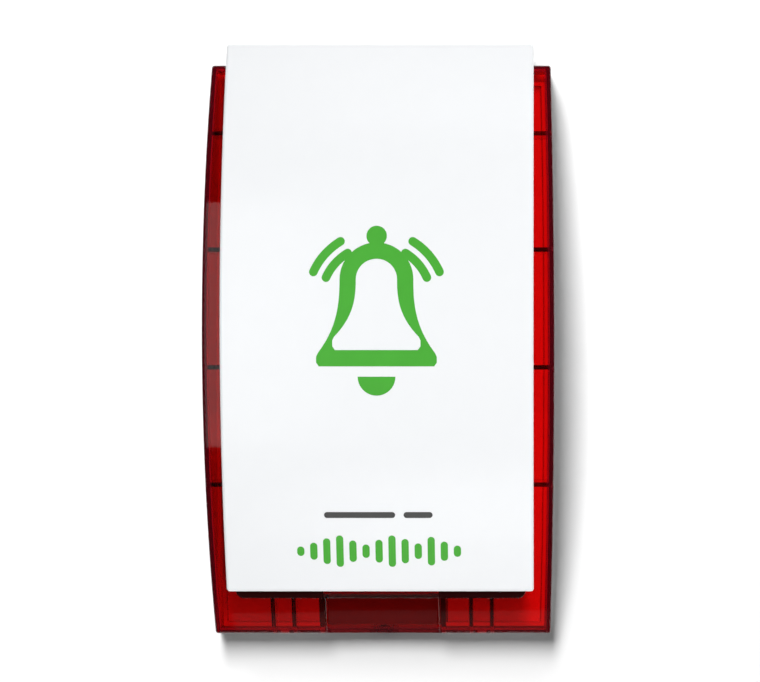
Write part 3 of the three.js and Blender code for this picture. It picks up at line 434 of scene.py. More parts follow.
def lens_cuts():
    below, above = LENS_BOTTOM - 1, LENS_BOTTOM + LENS_WALL + 0.5
    cuts = [box("top gap", -FAR, FAR, -1, LENS_TOP_REAR, LENS_TOP - LENS_WALL - 1, LENS_TOP + 1)]
    cuts += [turned("hole", ((BOSS_HOLE, 0), (BOSS_HOLE, FAR)), place) for place in BOSS_PLACES]
    for radius, top in ((LOCK_COUNTERBORE, LOCK_SEAT), (LOCK_HOLE, LOCK_BOSS_TOP + 1)):
        cuts.append(turned_up("bore", ((radius, below), (radius, top)), (0, LOCK_DEPTH)))
    cuts.append(turned_across("bore", ((HINGE_BORE, -FAR), (HINGE_BORE, FAR)), (HINGE_DEPTH, HINGE_Z)))
    for side in (-1, 1):
        cuts.append(side_box("weep", side, WEEP_PLACE - WEEP_HALF, WEEP_PLACE + WEEP_HALF,
                             WEEP_NEAR, WEEP_FAR, below, above))
        cuts.append(side_box("notch", side, NOTCH_INNER, NOTCH_OUTER, -1, NOTCH_FAR, below, above))
    return cuts


def build_lens(material):
    lens = arched_hull("red_lens", lens_half_width, LENS_CROWN, LENS_BOTTOM, LENS_TOP, LENS_REAR, LENS_EDGE)
    combine(lens, "DIFFERENCE", dish_cut(), lens_cavity())
    combine(lens, "UNION", lens_ribs(), swept_ring("plinth", PLINTH_PROFILE), *lens_additions())
    combine(lens, "DIFFERENCE", *lens_cuts())
    dress(lens, "cover", material)
    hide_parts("lens")
    return smooth(lens)


def build_painted_rib_shade(material):
    """Dark strips on the back plate under the dividers and ribs of the lens: painted shade that darkens the
    lines seen through them.
    """
    edge = DISH_HALF_WIDTH + DISH_WALL
    places = [(DISH_HALF_WIDTH - DIVIDER_STEP, edge + DIVIDER_STEP, DIVIDER_REAR)]
    places += [(x - RIB_SHADE_HALF, x + RIB_SHADE_HALF, BAY_RIB_REAR) for x in BAY_RIB_PLACES]
    rib_shade = None
    for side in (-1, 1):
        for inner, outer, rib_rear in places:
            strip = side_box("painted_rib_shade", side, inner, outer, RIB_SHADE_NEAR, rib_rear - RIB_SHADE_GAP,
                             RIB_SHADE_BOTTOM, RIB_SHADE_TOP)
            rib_shade = strip if rib_shade is None else combine(rib_shade, "UNION", strip)
    dress(rib_shade, "base", material)
    return soften(rib_shade, 0.2)


def build_painted_bay_shade(material):
    """A dark sheet behind the dished bay: painted shade that darkens that bay."""
    crown = LENS_CROWN - DISH_RECESS - LENS_WALL - SHADE_GAP
    shade = arched_band("painted_bay_sheet", SHADE_HALF_WIDTH, crown - SHADE_THICKNESS, crown,
                        SHADE_BOTTOM, SHADE_TOP)
    dress(shade, "cover", material)
    return soften(shade, 0.25)


def build_gasket(material):
    gasket = swept_ring("sealing_gasket", GASKET_PROFILE)
    gap = box("gap", -DISH_HALF_WIDTH, DISH_HALF_WIDTH, 0, FAR, PLINTH_BOTTOM - 1, GASKET_BREAK)
    combine(gasket, "DIFFERENCE", gap)
    dress(gasket, "cover", material)
    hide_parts("cover_gasket")
    return smooth(gasket)


# ----------------------------------------------------------
# Front cover
# ----------------------------------------------------------


def build_cover(material):
    inner = COVER_CROWN - COVER_SKIN
    roof_under = COVER_HALF_HEIGHT - ROOF_THICKNESS
    cover = arched_hull(
        "white_front_cover", lambda z: COVER_HALF_WIDTH, COVER_CROWN,
        -COVER_HALF_HEIGHT, COVER_HALF_HEIGHT, ROOF_REAR, COVER_EDGE,
    )
    below = -COVER_HALF_HEIGHT - 5
    behind = arched_band("behind", FAR, -FAR, inner - COVER_RIM_DEPTH, below, roof_under)
    pocket = arched_band("pocket", COVER_HALF_WIDTH - COVER_RIM, -FAR, inner, below, roof_under)
    combine(cover, "DIFFERENCE", behind, pocket)
    for x, z in BOSS_PLACES:
        start = arch(LENS_CROWN, z) + PAD_FRONT + BOSS_GAP
        profile = (
            (BOSS_RADIUS - BOSS_EDGE, start), (BOSS_RADIUS, start + BOSS_EDGE),
            (BOSS_RADIUS, arch(inner, z) + 1),
        )
        boss = turned("boss", profile, (x, z))
        pilot = turned("pilot", ((BOSS_HOLE, 0), (BOSS_HOLE, start - BOSS_GAP + BOSS_PILOT)), (x, z))
        combine(cover, "UNION", boss)
        combine(cover, "DIFFERENCE", pilot)
    dress(cover, "cover", material)
    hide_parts("front_cover")
    return smooth(cover)


# ----------------------------------------------------------
# Printed marks: a bell with sound waves, two rules and a sound-level row
# ----------------------------------------------------------

INK_LIFT, INK_THICKNESS = 0.03, 0.09
BELL_STROKE, BELL_HEIGHT = 8.6, 3
DOME_RADIUS, DOME_CENTRE = 19.5, 17
FLARE_WIDTH, FLARE_POWER, FLARE_END = 11.5, 2.6, -22
RIM_STEPS = ((12.4, -24), (12.4, -27), (11, -29))
KNOB_RADIUS, KNOB_CENTRE = 5.4, 43
CLAPPER_RADIUS, CLAPPER_CENTRE = 10, -31.5
WAVE_RADII, WAVE_STROKE, WAVE_CENTRE = (31.5, 38.8), 4.6, 9
WAVE_START, WAVE_END = 0.42, 1.02
LEVELS = (5.2, 9.4, 14.2, 17.4, 11.8, 7.4, 12.6, 17.4, 13.4, 8.6, 15.8, 10.6, 6.2)
LEVEL_ROW = (-44, 44, -125.5, 3.9)
RULES, RULE_HALF, RULES_CENTRE = ((-29, 9), (13.5, 29)), 1.6, -105.6
PRINT_HALF_WIDTH = 60


def mirrored(outline):
    return outline + [(-x, z) for x, z in reversed(outline)]


def bell_outline(inset):
    """A bell's outline, from its crown down its right side to its rim, and mirrored to the left."""
    radius = DOME_RADIUS - inset
    turn = spread(0.001, math.pi / 2, 14)
    dome = [(radius * math.sin(a), DOME_CENTRE + radius * math.cos(a)) for a in turn]
    fall = FLARE_END + inset - DOME_CENTRE
    flare = [
        (radius + (t ** FLARE_POWER) * FLARE_WIDTH, DOME_CENTRE + fall * t) for t in spread(0.08, 1, 12)
    ]
    rim = [(radius + out, z + inset) for out, z in RIM_STEPS]
    return mirrored([(x, z + BELL_HEIGHT) for x, z in dome + flare + rim])


def arc_outline(radius, stroke, start, end, centre_z, side):
    """A curved stroke with round ends."""
    half = stroke / 2
    outer = [(radius + half, a) for a in spread(start, end, 18)]
    inner = [(radius - half, a) for a in spread(end, start, 18)]
    cap = spread(0, math.pi, 8)[1:-1]
    outline = [(r * math.cos(a), r * math.sin(a)) for r, a in outer]
    ex, ez = radius * math.cos(end), radius * math.sin(end)
    outline += [(ex + half * math.cos(end + a), ez + half * math.sin(end + a)) for a in cap]
    outline += [(r * math.cos(a), r * math.sin(a)) for r, a in inner]
    sx, sz = radius * math.cos(start), radius * math.sin(start)
    outline += [(sx - half * math.cos(start + a), sz - half * math.sin(start + a)) for a in cap]
    return [(side * x, z + centre_z) for x, z in outline]


def pill_outline(left, right, bottom, top):
    """A bar with round ends, upright or lying."""
    radius = min(right - left, top - bottom) / 2 - 0.01
    return rounded_outline(left, right, bottom, top, radius)


def bell_shapes():
    shapes = [prism("bell", bell_outline(0), 0, FAR)]
    combine(shapes[0], "DIFFERENCE", prism("bell inside", bell_outline(BELL_STROKE), -1, FAR + 1))
    shapes.append(prism("knob", [(x, z + KNOB_CENTRE) for x, z in circle(KNOB_RADIUS)], 0, FAR))
    clapper = [
        (CLAPPER_RADIUS * math.cos(a), CLAPPER_CENTRE + CLAPPER_RADIUS * math.sin(a))
        for a in spread(-math.pi, 0, 20)
    ]
    shapes.append(prism("clapper", clapper, 0, FAR))
    for side in (-1, 1):
        for radius in WAVE_RADII:
            middle = radius - WAVE_STROKE / 2
            outline = arc_outline(middle, WAVE_STROKE, WAVE_START, WAVE_END, WAVE_CENTRE, side)
            shapes.append(prism("wave", outline, 0, FAR))
    return shapes


def level_shapes():
    left, right, middle, width = LEVEL_ROW
    step = (right - left - width) / (len(LEVELS) - 1)
    bars = []
    for i, height in enumerate(LEVELS):
        start = left + i * step
        outline = pill_outline(start, start + width, middle - height / 2, middle + height / 2)
        bars.append(prism("bar", outline, 0, FAR))
    return bars


def rule_shapes():
    low, high = RULES_CENTRE - RULE_HALF, RULES_CENTRE + RULE_HALF
    return [prism("rule", pill_outline(left, right, low, high), 0, FAR) for left, right in RULES]


def build_print(name, shapes, bottom, top, material):
    """Lays flat shapes on the arched face as a thin film of ink."""
    whole = shapes[0]
    combine(whole, "UNION", *shapes[1:])
    low = COVER_CROWN + INK_LIFT
    film = arched_band("film", PRINT_HALF_WIDTH, low, low + INK_THICKNESS, bottom, top, step=1.5)
    combine(film, "INTERSECT", whole)
    film.name = name
    return dress(film, "cover", material)


# ----------------------------------------------------------
# Pieces inside the case
# ----------------------------------------------------------

ON_BOARD = 10.9
SMALL_SCREW = (1.2, 2.6, 1.8, 7)
COVER_SCREW = (1.5, 3, 2.2, 14)
PAN_CROWN = ((0.05, 1), (0.6, 1), (0.88, 0.8), (1, 0.45), (1, 0))
SLOT_HALF, SLOT_REACH, SLOT_DEPTH = 0.35, 0.6, 0.5
THREAD_PITCH, THREAD_DEPTH = 0.7, 0.12
BOARD_SCREWS = ((-50, 50), (50, 50), (-50, 114), (50, 114))
HORN_SCREWS = ((-34.6, -58), (34.6, -58), (-27.6, -110), (27.6, -110))
HORN_SCREW_SEAT = 26.6

CELL_DEPTH, CELL_BOTTOM, CELL_PLACES = 14.1, -1.25, (-11.25, 8.25, 27.75, 47.25)
CELL_PROFILE = (
    (0.3, 0), (7.6, 0), (8.3, 0.3), (8.5, 0.8), (8.5, 31.2), (8.2, 31.6), (8.2, 32.1), (8.4, 32.5),
    (8.1, 33), (5.8, 33), (5.5, 32.7), (3.3, 32.7), (3, 33), (3, 34.2), (2.7, 34.5), (0.3, 34.5),
)
CAPACITOR_PLACE = (2, 74)
CAPACITOR_PROFILE = (
    (0.3, 0), (4.6, 0), (5, 0.4), (5, 2.2), (4.6, 2.8), (4.6, 3.2), (5, 3.8), (5, 17.4), (4.6, 18),
    (3.9, 18), (3.7, 17.7), (0.3, 17.7),
)
GROMMET_PLACE, GROMMET_BORE = (-50, 16), 5
GROMMET_PROFILE = (
    (8.4, 0.4), (8.7, 0.8), (8.7, 3.3), (11.2, 3.3), (11.5, 3.6), (11.3, 4.1), (10.6, 4.2), (8.8, 4.5),
    (8.3, 5.2), (7.8, 5.4),
)
LED_PLACE, LED_HEIGHTS, LED_REAR = 73.25, (68, 5, -58), 9.9
LED_HALF, LED_BASE, LED_RADIUS, LED_DOME, LED_SUNK = 3.5, 1.6, 2.7, 2.2, 0.2

HORN_CENTRE, HORN_RADIUS, HORN_WALL, HORN_NEAR = -58, 32, 2, 3.3
HORN_LID_NEAR, HORN_FAR, HORN_EAR, HORN_BODY_FAR = 24.3, 26.3, 4.2, 24
HORN_NECK, HORN_NECK_HALF, HORN_MOUTH, HORN_MOUTH_HALF = -84, 23, -147, 31
HORN_FLARE, HORN_CLEARANCE, HORN_PILOT, HORN_PILOT_NEAR = 1.6, 1.6, 1.5, 15

LOCK_SCREW_STEPS = ((3.1, -173.4), (3.5, -173), (3.5, -171.6), (2, -171.6))
LOCK_SCREW_RADIUS, LOCK_THREAD_START = 2, -171
LOCK_SCREW_TIP, LOCK_TIP_RADIUS = -161, 1.2
LOCK_SOCKET, LOCK_SOCKET_TOP = 1.6, -172.2
WASHER_PROFILE, WASHER_BORE = ((3.4, -171.3), (3.5, -171.2), (3.5, -170.9), (3.4, -170.8)), 2.3

CORE_RADIUS, CORE_REACH, CORE_TWIST, CORE_STEPS = 0.52, 0.55, 0.55, 12
LEADS = {
    "strobe_lead_left": ((-45, 14, 58), (-47, 20, 50), (-58, 20, 42), (-70, 16, 40), (-73, 12.6, 36)),
    "strobe_lead_right": ((45, 14, 58), (47, 20, 50), (60, 20, 42), (70, 16, 40), (73, 12.6, 36)),
    "siren_lead": ((-30, 14, 66), (-31, 22, 58), (-30, 25, 40), (-28, 22, 0), (-27, 18, -16),
                   (-38, 14, -30), (-40, 12, -44)),
    "battery_lead": ((18, 14, 58), (18, 22, 54), (16, 24, 46), (6, 21, 42), (-16, 19, 41.5),
                     (-26.5, 18, 38), (-27, 16, 30)),
}
PLUG_HALF_WIDTH, PLUG_HALF_HEIGHT, PLUG_FAR = 3, 2.5, 16

TIP_OUTER, TIP_INNER = 0.2, 0.7
PUSHERS = (
    ("cover_tamper_plunger", (TAMPER_X, TAMPER_Z), 2.7, 11.4, 23.7),
    ("wall_tamper_plunger", (48, -40), 2.7, 0, 9),
    ("learn_button", (-20, 68), 1.7, 12.8, 16.1),
)


def stand_in(kit, made, node, width=None):
    """Shows a finished piece instead of a CAD node, on that node's body and in its material slot."""
    slot_name = kit["slots"][node]
    dress(made, kit["nodes"][node]["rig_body"], kit["materials"][slot_name])
    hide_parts(node)
    return soften(made, width) if width else smooth(made)


def thread(radius, start, end):
    """Profile of a threaded shank, as (radius, place along it)."""
    count = 2 * max(2, round(abs(end - start) / THREAD_PITCH))
    return [(radius - THREAD_DEPTH * (i % 2), place) for i, place in enumerate(spread(start, end, count))]


def pan_screw(name, place, seat, way, sizes):
    """A pan-head screw whose head ends at depth seat. Its shank runs away from the wall when way is 1."""
    radius, head, height, length = sizes
    profile = [(head * share, seat - way * height * rise) for share, rise in PAN_CROWN]
    profile += thread(radius, seat, seat + way * (length - radius)) + [(0.2, seat + way * length)]
    x, z = place
    reach = head * SLOT_REACH
    near, far = sorted((seat - way * (height + 1), seat - way * height * SLOT_DEPTH))
    across = box("slot", x - reach, x + reach, near, far, z - SLOT_HALF, z + SLOT_HALF)
    upright = box("slot", x - SLOT_HALF, x + SLOT_HALF, near, far, z - reach, z + reach)
    return combine(turned(name, profile, place, 28), "DIFFERENCE", across, upright)


def build_screws(kit):
    rows = (
        ("board_screw", BOARD_SCREWS, lambda z: ON_BOARD, -1, SMALL_SCREW),
        ("horn_screw", HORN_SCREWS, lambda z: HORN_SCREW_SEAT, -1, SMALL_SCREW),
        ("cover_screw", BOSS_PLACES, lambda z: arch(LENS_CROWN, z) - PAD_BACK - BOSS_GAP, 1, COVER_SCREW),
    )
    for node, places, seat, way, sizes in rows:
        for i, place in enumerate(places, 1):
            made = pan_screw(f"pan_{node}_{i}", place, seat(place[1]), way, sizes)
            stand_in(kit, made, f"{node}_{i}")


def build_lock_parts(kit):
    place = (0, LOCK_DEPTH)
    profile = [*LOCK_SCREW_STEPS, *thread(LOCK_SCREW_RADIUS, LOCK_THREAD_START, LOCK_SCREW_TIP - 1)]
    profile.append((LOCK_TIP_RADIUS, LOCK_SCREW_TIP))
    screw = turned_up("m4_lock_screw", profile, place)
    socket = turned_up("socket", ((LOCK_SOCKET, -175), (LOCK_SOCKET, LOCK_SOCKET_TOP)), place, 6)
    stand_in(kit, combine(screw, "DIFFERENCE", socket), "lock_screw")
    washer = turned_up("lock_sealing_washer", WASHER_PROFILE, place)
    bore = turned_up("bore", ((WASHER_BORE, -172), (WASHER_BORE, -170)), place)
    stand_in(kit, combine(washer, "DIFFERENCE", bore), "lock_washer")


def build_cells(kit):
    for i, x in enumerate(CELL_PLACES, 1):
        profile = [(radius, CELL_BOTTOM + height) for radius, height in CELL_PROFILE]
        stand_in(kit, turned_up(f"sleeved_cell_{i}", profile, (x, CELL_DEPTH), 56), f"battery_cell_{i}")


def build_capacitor(kit):
    profile = [(radius, ON_BOARD + height) for radius, height in CAPACITOR_PROFILE]
    stand_in(kit, turned("can_capacitor", profile, CAPACITOR_PLACE, 48), "storage_capacitor")


def build_grommet(kit):
    ring = turned("rubber_grommet", GROMMET_PROFILE, GROMMET_PLACE, 56)
    bore = turned("bore", ((GROMMET_BORE, -1), (GROMMET_BORE, 9)), GROMMET_PLACE, 56)
    stand_in(kit, combine(ring, "DIFFERENCE", bore), "cable_grommet", 0.3)


def build_leds(kit):
    root = LED_BASE - LED_SUNK
    dome = [(LED_RADIUS, root)]
    dome += [(max(LED_RADIUS * math.cos(a), 0.05), root + LED_DOME * math.sin(a))
             for a in spread(0.1, math.pi / 2, 8)]
    for label, side in (("left", -1), ("right", 1)):
        for i, z in enumerate(LED_HEIGHTS, 1):
            x = side * LED_PLACE
            base = box(f"beacon_led_{label}_{i}", x - LED_HALF, x + LED_HALF, LED_REAR, LED_REAR + LED_BASE,
                       z - LED_HALF, z + LED_HALF)
            lens = turned("dome", [(radius, LED_REAR + height) for radius, height in dome], (x, z))
            stand_in(kit, combine(base, "UNION", lens), f"strobe_led_{label}_{i}", 0.2)


def horn_outline(inset):
    """A round driver chamber that opens into a flare down to the mouth."""
    radius, neck, mouth = HORN_RADIUS - inset, HORN_NECK_HALF - inset, HORN_MOUTH_HALF - inset
    start = math.asin(min(neck / radius, 1))
    angles = spread(start - math.pi / 2, 1.5 * math.pi - start, 56)
    chamber = [(radius * math.cos(a), HORN_CENTRE + radius * math.sin(a)) for a in angles]
    flare = [(neck + (mouth - neck) * t ** HORN_FLARE, HORN_NECK + (HORN_MOUTH - HORN_NECK) * t)
             for t in spread(1, 0.08, 16)]
    beyond = [(mouth, HORN_MOUTH - 5)] if inset else []
    right = beyond + flare
    return right + chamber + [(-x, z) for x, z in reversed(right)]


def horn_ears(near, far):
    return [turned("ear", ((HORN_EAR, near), (HORN_EAR, far)), place) for place in HORN_SCREWS]


def build_horn(kit):
    outer = prism("horn_body", horn_outline(0), HORN_NEAR, HORN_BODY_FAR)
    combine(outer, "UNION", *horn_ears(HORN_NEAR, HORN_BODY_FAR))
    inner = prism("inside", horn_outline(HORN_WALL), HORN_NEAR + HORN_WALL, FAR)
    pilot = ((HORN_PILOT, HORN_PILOT_NEAR), (HORN_PILOT, FAR))
    pilots = [turned("pilot", pilot, place) for place in HORN_SCREWS]
    stand_in(kit, combine(outer, "DIFFERENCE", inner, *pilots), "siren_horn", 0.3)
    lid = prism("horn_lid", horn_outline(0), HORN_LID_NEAR, HORN_FAR)
    combine(lid, "UNION", *horn_ears(HORN_LID_NEAR, HORN_FAR))
    hole = ((HORN_CLEARANCE, 0), (HORN_CLEARANCE, FAR))
    holes = [turned("hole", hole, place) for place in HORN_SCREWS]
    stand_in(kit, combine(lid, "DIFFERENCE", *holes), "siren_horn_lid", 0.4)


def smooth_path(points, count):
    """A centripetal Catmull-Rom curve through points."""
    ends = [2 * points[0] - points[1], *points, 2 * points[-1] - points[-2]]
    path = []
    for a, b, c, d in zip(ends, ends[1:], ends[2:], ends[3:]):
        t1 = (b - a).length ** 0.5
        t2 = t1 + (c - b).length ** 0.5
        t3 = t2 + (d - c).length ** 0.5
        for i in range(count):
            t = t1 + (t2 - t1) * i / count
            first = a.lerp(b, t / t1)
            middle = b.lerp(c, (t - t1) / (t2 - t1))
            last = c.lerp(d, (t - t2) / (t3 - t2))
            low, high = first.lerp(middle, t / t2), middle.lerp(last, (t - t1) / (t3 - t1))
            path.append(low.lerp(high, (t - t1) / (t2 - t1)))
    return [*path, points[-1]]


def twisted_core(name, path, phase):
    """One of the two cores of a lead, wound round its path."""
    side, rings = Vector((1, 0, 0)), []
    for i, place in enumerate(path):
        ahead = (path[min(i + 1, len(path) - 1)] - path[max(i - 1, 0)]).normalized()
        side = (side - ahead * side.dot(ahead)).normalized()
        up = ahead.cross(side)
        angle = phase + CORE_TWIST * i
        centre = place + (side * math.cos(angle) + up * math.sin(angle)) * CORE_REACH * MM
        rings.append([centre + (side * u + up * v) * MM for u, v in circle(CORE_RADIUS, 10)])
    return skin(name, rings)


def build_leads(kit):
    for node, points in LEADS.items():
        path = smooth_path([point(*place) for place in points], CORE_STEPS)
        x, _, z = points[0]
        plug = box(f"twisted_{node}", x - PLUG_HALF_WIDTH, x + PLUG_HALF_WIDTH, ON_BOARD, PLUG_FAR,
                   z - PLUG_HALF_HEIGHT, z + PLUG_HALF_HEIGHT)
        combine(plug, "UNION", twisted_core("core", path, 0), twisted_core("core", path, math.pi))
        stand_in(kit, plug, node)


def build_pushers(kit):
    """The two tamper plungers and the learn button, with rounded tips."""
    for node, place, radius, near, far in PUSHERS:
        profile = (
            (radius - TIP_INNER, near), (radius - TIP_OUTER, near + TIP_OUTER), (radius, near + TIP_INNER),
            (radius, far - TIP_INNER), (radius - TIP_OUTER, far - TIP_OUTER), (radius - TIP_INNER, far),
        )
        stand_in(kit, turned(f"rounded_{node}", profile, place), node)


# ----------------------------------------------------------
# Materials
# ----------------------------------------------------------


MOTTLE_SCALE, METAL_MOTTLE, METAL_MOTTLE_SCALE = 90, 0.08, 220
LENS_DEPTH_COLOR, LENS_DEPTH_DENSITY = (0.975, 0.0, 0.0, 1), 2600
FROST_COLOR, FROST_WEIGHT, FROST_WIDTH, FROST_FADE = (0.36, 0.006, 0.02, 1), 0.22, 3.6, 0.3
CARRIED_EDGE, CARRIED_WELD = 0.18, 0.01


def new_material(name):
    material = bpy.data.materials.new(name)
    material.use_nodes = True
    tree = material.node_tree
    return material, tree, tree.nodes["Principled BSDF"]


def add_noise(tree, scale, detail=2.0):
    """Noise laid out in the object's own metres."""
    place = tree.nodes.new("ShaderNodeTexCoord")
    noise = tree.nodes.new("ShaderNodeTexNoise")
    noise.inputs["Scale"].default_value = scale
    noise.inputs["Detail"].default_value = detail
    tree.links.new(place.outputs["Object"], noise.inputs["Vector"])
    return noise.outputs["Fac"]


def vary_roughness(tree, shader, low, high, scale):
    ramp = tree.nodes.new("ShaderNodeMapRange")
    ramp.inputs["To Min"].default_value = low
    ramp.inputs["To Max"].default_value = high
    tree.links.new(add_noise(tree, scale), ramp.inputs["Value"])
    tree.links.new(ramp.outputs["Result"], shader.inputs["Roughness"])


def add_bump(tree, shader, scale, height):
    bump = tree.nodes.new("ShaderNodeBump")
    bump.inputs["Distance"].default_value = height * MM
    tree.links.new(add_noise(tree, scale, 3.0), bump.inputs["Height"])
    tree.links.new(bump.outputs["Normal"], shader.inputs["Normal"])


def vary_color(tree, shader, color, share, scale):
    """Soft patches a little lighter and darker than color."""
    mix = tree.nodes.new("ShaderNodeMix")
    mix.data_type = "RGBA"
    dark, light = [(*(min(part * factor, 1) for part in color), 1) for factor in (1 - share, 1 + share)]
    for socket in mix.inputs:
        if socket.type == "RGBA":
            socket.default_value = dark if socket.name == "A" else light
    tree.links.new(add_noise(tree, scale), mix.inputs[0])
    color_out = next(socket for socket in mix.outputs if socket.type == "RGBA")
    tree.links.new(color_out, shader.inputs["Base Color"])


def plastic(name, color, roughness, grain=(900, 0.01), coat=0.0, specular=0.5, mottle=0.06):
    """A moulded surface: a faintly mottled colour, slightly uneven gloss and a fine grain."""
    material, tree, shader = new_material(name)
    vary_color(tree, shader, color, mottle, MOTTLE_SCALE)
    shader.inputs["Specular IOR Level"].default_value = specular
    shader.inputs["Coat Weight"].default_value = coat
    vary_roughness(tree, shader, roughness - 0.04, roughness + 0.04, 60)
    add_bump(tree, shader, *grain)
    return material


def metal(name, color, roughness, grain=(1400, 0.006)):
    material, tree, shader = new_material(name)
    vary_color(tree, shader, color, METAL_MOTTLE, METAL_MOTTLE_SCALE)
    shader.inputs["Metallic"].default_value = 1
    vary_roughness(tree, shader, roughness - 0.08, roughness + 0.08, 300)
    add_bump(tree, shader, *grain)
    return material


def math_node(tree, operation, first, second):
    """One sum on lengths or weights, where each side is a socket or a number."""
    node = tree.nodes.new("ShaderNodeMath")
    node.operation = operation
    for socket, value in zip(node.inputs, (first, second)):
        if isinstance(value, bpy.types.NodeSocket):
            tree.links.new(value, socket)
        else:
            socket.default_value = value
    return node.outputs[0]


def rim_mask(tree):
    """One over the outer walls of the lens and nothing inside them, following its bowed sides."""
    middle, reach = (LENS_TOP + LENS_BOTTOM) / 2 * MM, (LENS_TOP - LENS_BOTTOM) / 2 * MM
    bow = (LENS_HALF_MIDDLE - LENS_HALF_END) * MM
    place = tree.nodes.new("ShaderNodeTexCoord")
    axes = tree.nodes.new("ShaderNodeSeparateXYZ")
    tree.links.new(place.outputs["Object"], axes.inputs[0])
    across = math_node(tree, "ABSOLUTE", axes.outputs["X"], 0)
    height = math_node(tree, "ABSOLUTE", math_node(tree, "SUBTRACT", axes.outputs["Z"], middle), 0)
    share = math_node(tree, "POWER", math_node(tree, "DIVIDE", height, reach), 2)
    bowed = math_node(tree, "ADD", across, math_node(tree, "MULTIPLY", share, bow))
    from_side = math_node(tree, "SUBTRACT", LENS_HALF_MIDDLE * MM, bowed)
    from_end = math_node(tree, "SUBTRACT", reach, height)
    ramp = tree.nodes.new("ShaderNodeMapRange")
    ramp.interpolation_type = "SMOOTHSTEP"
    ramp.inputs["From Min"].default_value = (FROST_WIDTH + FROST_FADE) * MM
    ramp.inputs["From Max"].default_value = (FROST_WIDTH - FROST_FADE) * MM
    ramp.inputs["To Max"].default_value = FROST_WEIGHT
    tree.links.new(math_node(tree, "MINIMUM", from_side, from_end), ramp.inputs["Value"])
    return ramp.outputs["Result"]


def red_lens_material():
    """See-through red moulding with frosted outer walls, whose colour comes from its thickness."""
    material, tree, shader = new_material("red lens")
    shader.inputs["Base Color"].default_value = (1, 1, 1, 1)
    shader.inputs["Transmission Weight"].default_value = 1
    shader.inputs["IOR"].default_value = 1.5
    vary_roughness(tree, shader, 0.02, 0.05, 40)
    add_bump(tree, shader, 35, 0.01)
    depth = tree.nodes.new("ShaderNodeVolumeAbsorption")
    depth.inputs["Color"].default_value = LENS_DEPTH_COLOR
    depth.inputs["Density"].default_value = LENS_DEPTH_DENSITY
    tree.links.new(depth.outputs["Volume"], tree.nodes["Material Output"].inputs["Volume"])
    frost = tree.nodes.new("ShaderNodeBsdfDiffuse")
    frost.inputs["Color"].default_value = FROST_COLOR
    mix = tree.nodes.new("ShaderNodeMixShader")
    tree.links.new(rim_mask(tree), mix.inputs[0])
    tree.links.new(shader.outputs["BSDF"], mix.inputs[1])
    tree.links.new(frost.outputs["BSDF"], mix.inputs[2])
    tree.links.new(mix.outputs["Shader"], tree.nodes["Material Output"].inputs["Surface"])
    return material


def slot_materials():
    """One material for each slot of the record."""
    return {
        "white_cover": plastic("white cover", (0.87, 0.885, 0.90), 0.16, (160, 0.004), mottle=0.01),
        "white_base": plastic("white base", (0.86, 0.86, 0.84), 0.5, (1600, 0.02), mottle=0.02),
        "red_lens": red_lens_material(),
        "black_rubber": plastic("black rubber", (0.006, 0.005, 0.005), 0.85, (1200, 0.03), specular=0.15),
        "black_plastic": plastic("black plastic", (0.022, 0.022, 0.024), 0.45, (1500, 0.02)),
        "white_plastic": plastic("white plastic", (0.78, 0.78, 0.76), 0.35, mottle=0.02),
        "steel": metal("zinc-plated steel", (0.56, 0.57, 0.6), 0.28),
        "brass": metal("brass", (0.72, 0.5, 0.2), 0.28),
        "circuit_board": plastic("green solder resist", (0.015, 0.13, 0.045), 0.3, (700, 0.02), coat=0.4),
        "white_board": plastic("white solder resist", (0.82, 0.82, 0.79), 0.3, (700, 0.01)),
        "led": plastic("yellow phosphor", (0.85, 0.62, 0.08), 0.25, (700, 0.01), coat=0.6),
        "cell_wrap": plastic("cell sleeve", (0.02, 0.1, 0.36), 0.28, (300, 0.02), coat=0.5),
        "terminal_green": plastic("green nylon", (0.03, 0.26, 0.07), 0.42),
        "button_red": plastic("red nylon", (0.5, 0.03, 0.02), 0.4),
        "capacitor_sleeve": plastic("capacitor sleeve", (0.02, 0.022, 0.05), 0.3, (300, 0.02), coat=0.4),
        "lead_sheath": plastic("soft red sheath", (0.42, 0.015, 0.012), 0.5),
    }


def dress_frame(kit):
    """Softens the edges of the carried-over pieces and gives them their materials."""
    for name, node in kit["nodes"].items():
        if node.hide_render:
            continue
        node.data.materials.clear()
        node.data.materials.append(kit["materials"][kit["slots"][name]])
        weld = node.modifiers.new("weld", "WELD")
        weld.merge_threshold = CARRIED_WELD * MM
        bevel = node.modifiers.new("bevel", "BEVEL")
        bevel.width = CARRIED_EDGE * MM
        bevel.segments = 2
        bevel.limit_method = "ANGLE"
        bevel.angle_limit = math.radians(40)
        bevel.harden_normals = True


# ----------------------------------------------------------
# Camera, lamps and backdrop
# ----------------------------------------------------------

# Metres here, and a 36 mm wide sensor behind a lens given in millimetres
CAMERA_PLACE = (0.087, -1.5, -0.0126)
CAMERA_SENSOR, CAMERA_LENS, CAMERA_SHIFT = 36, 127.4, -0.212
STAGE_REACH, WALL_BEHIND, FLOOR_HEIGHT, FLOOR_DEPTH = 2.0, 0.0006, -1.1, 3.0


def add_camera():
    data = bpy.data.cameras.new("camera")
    data.sensor_width = CAMERA_SENSOR
    data.lens = CAMERA_LENS
    data.shift_x = CAMERA_SHIFT
    camera = bpy.data.objects.new("camera", data)
    camera.location = CAMERA_PLACE
    camera.rotation_euler = (math.pi / 2, 0, 0)
    bpy.context.scene.collection.objects.link(camera)
    bpy.context.scene.camera = camera


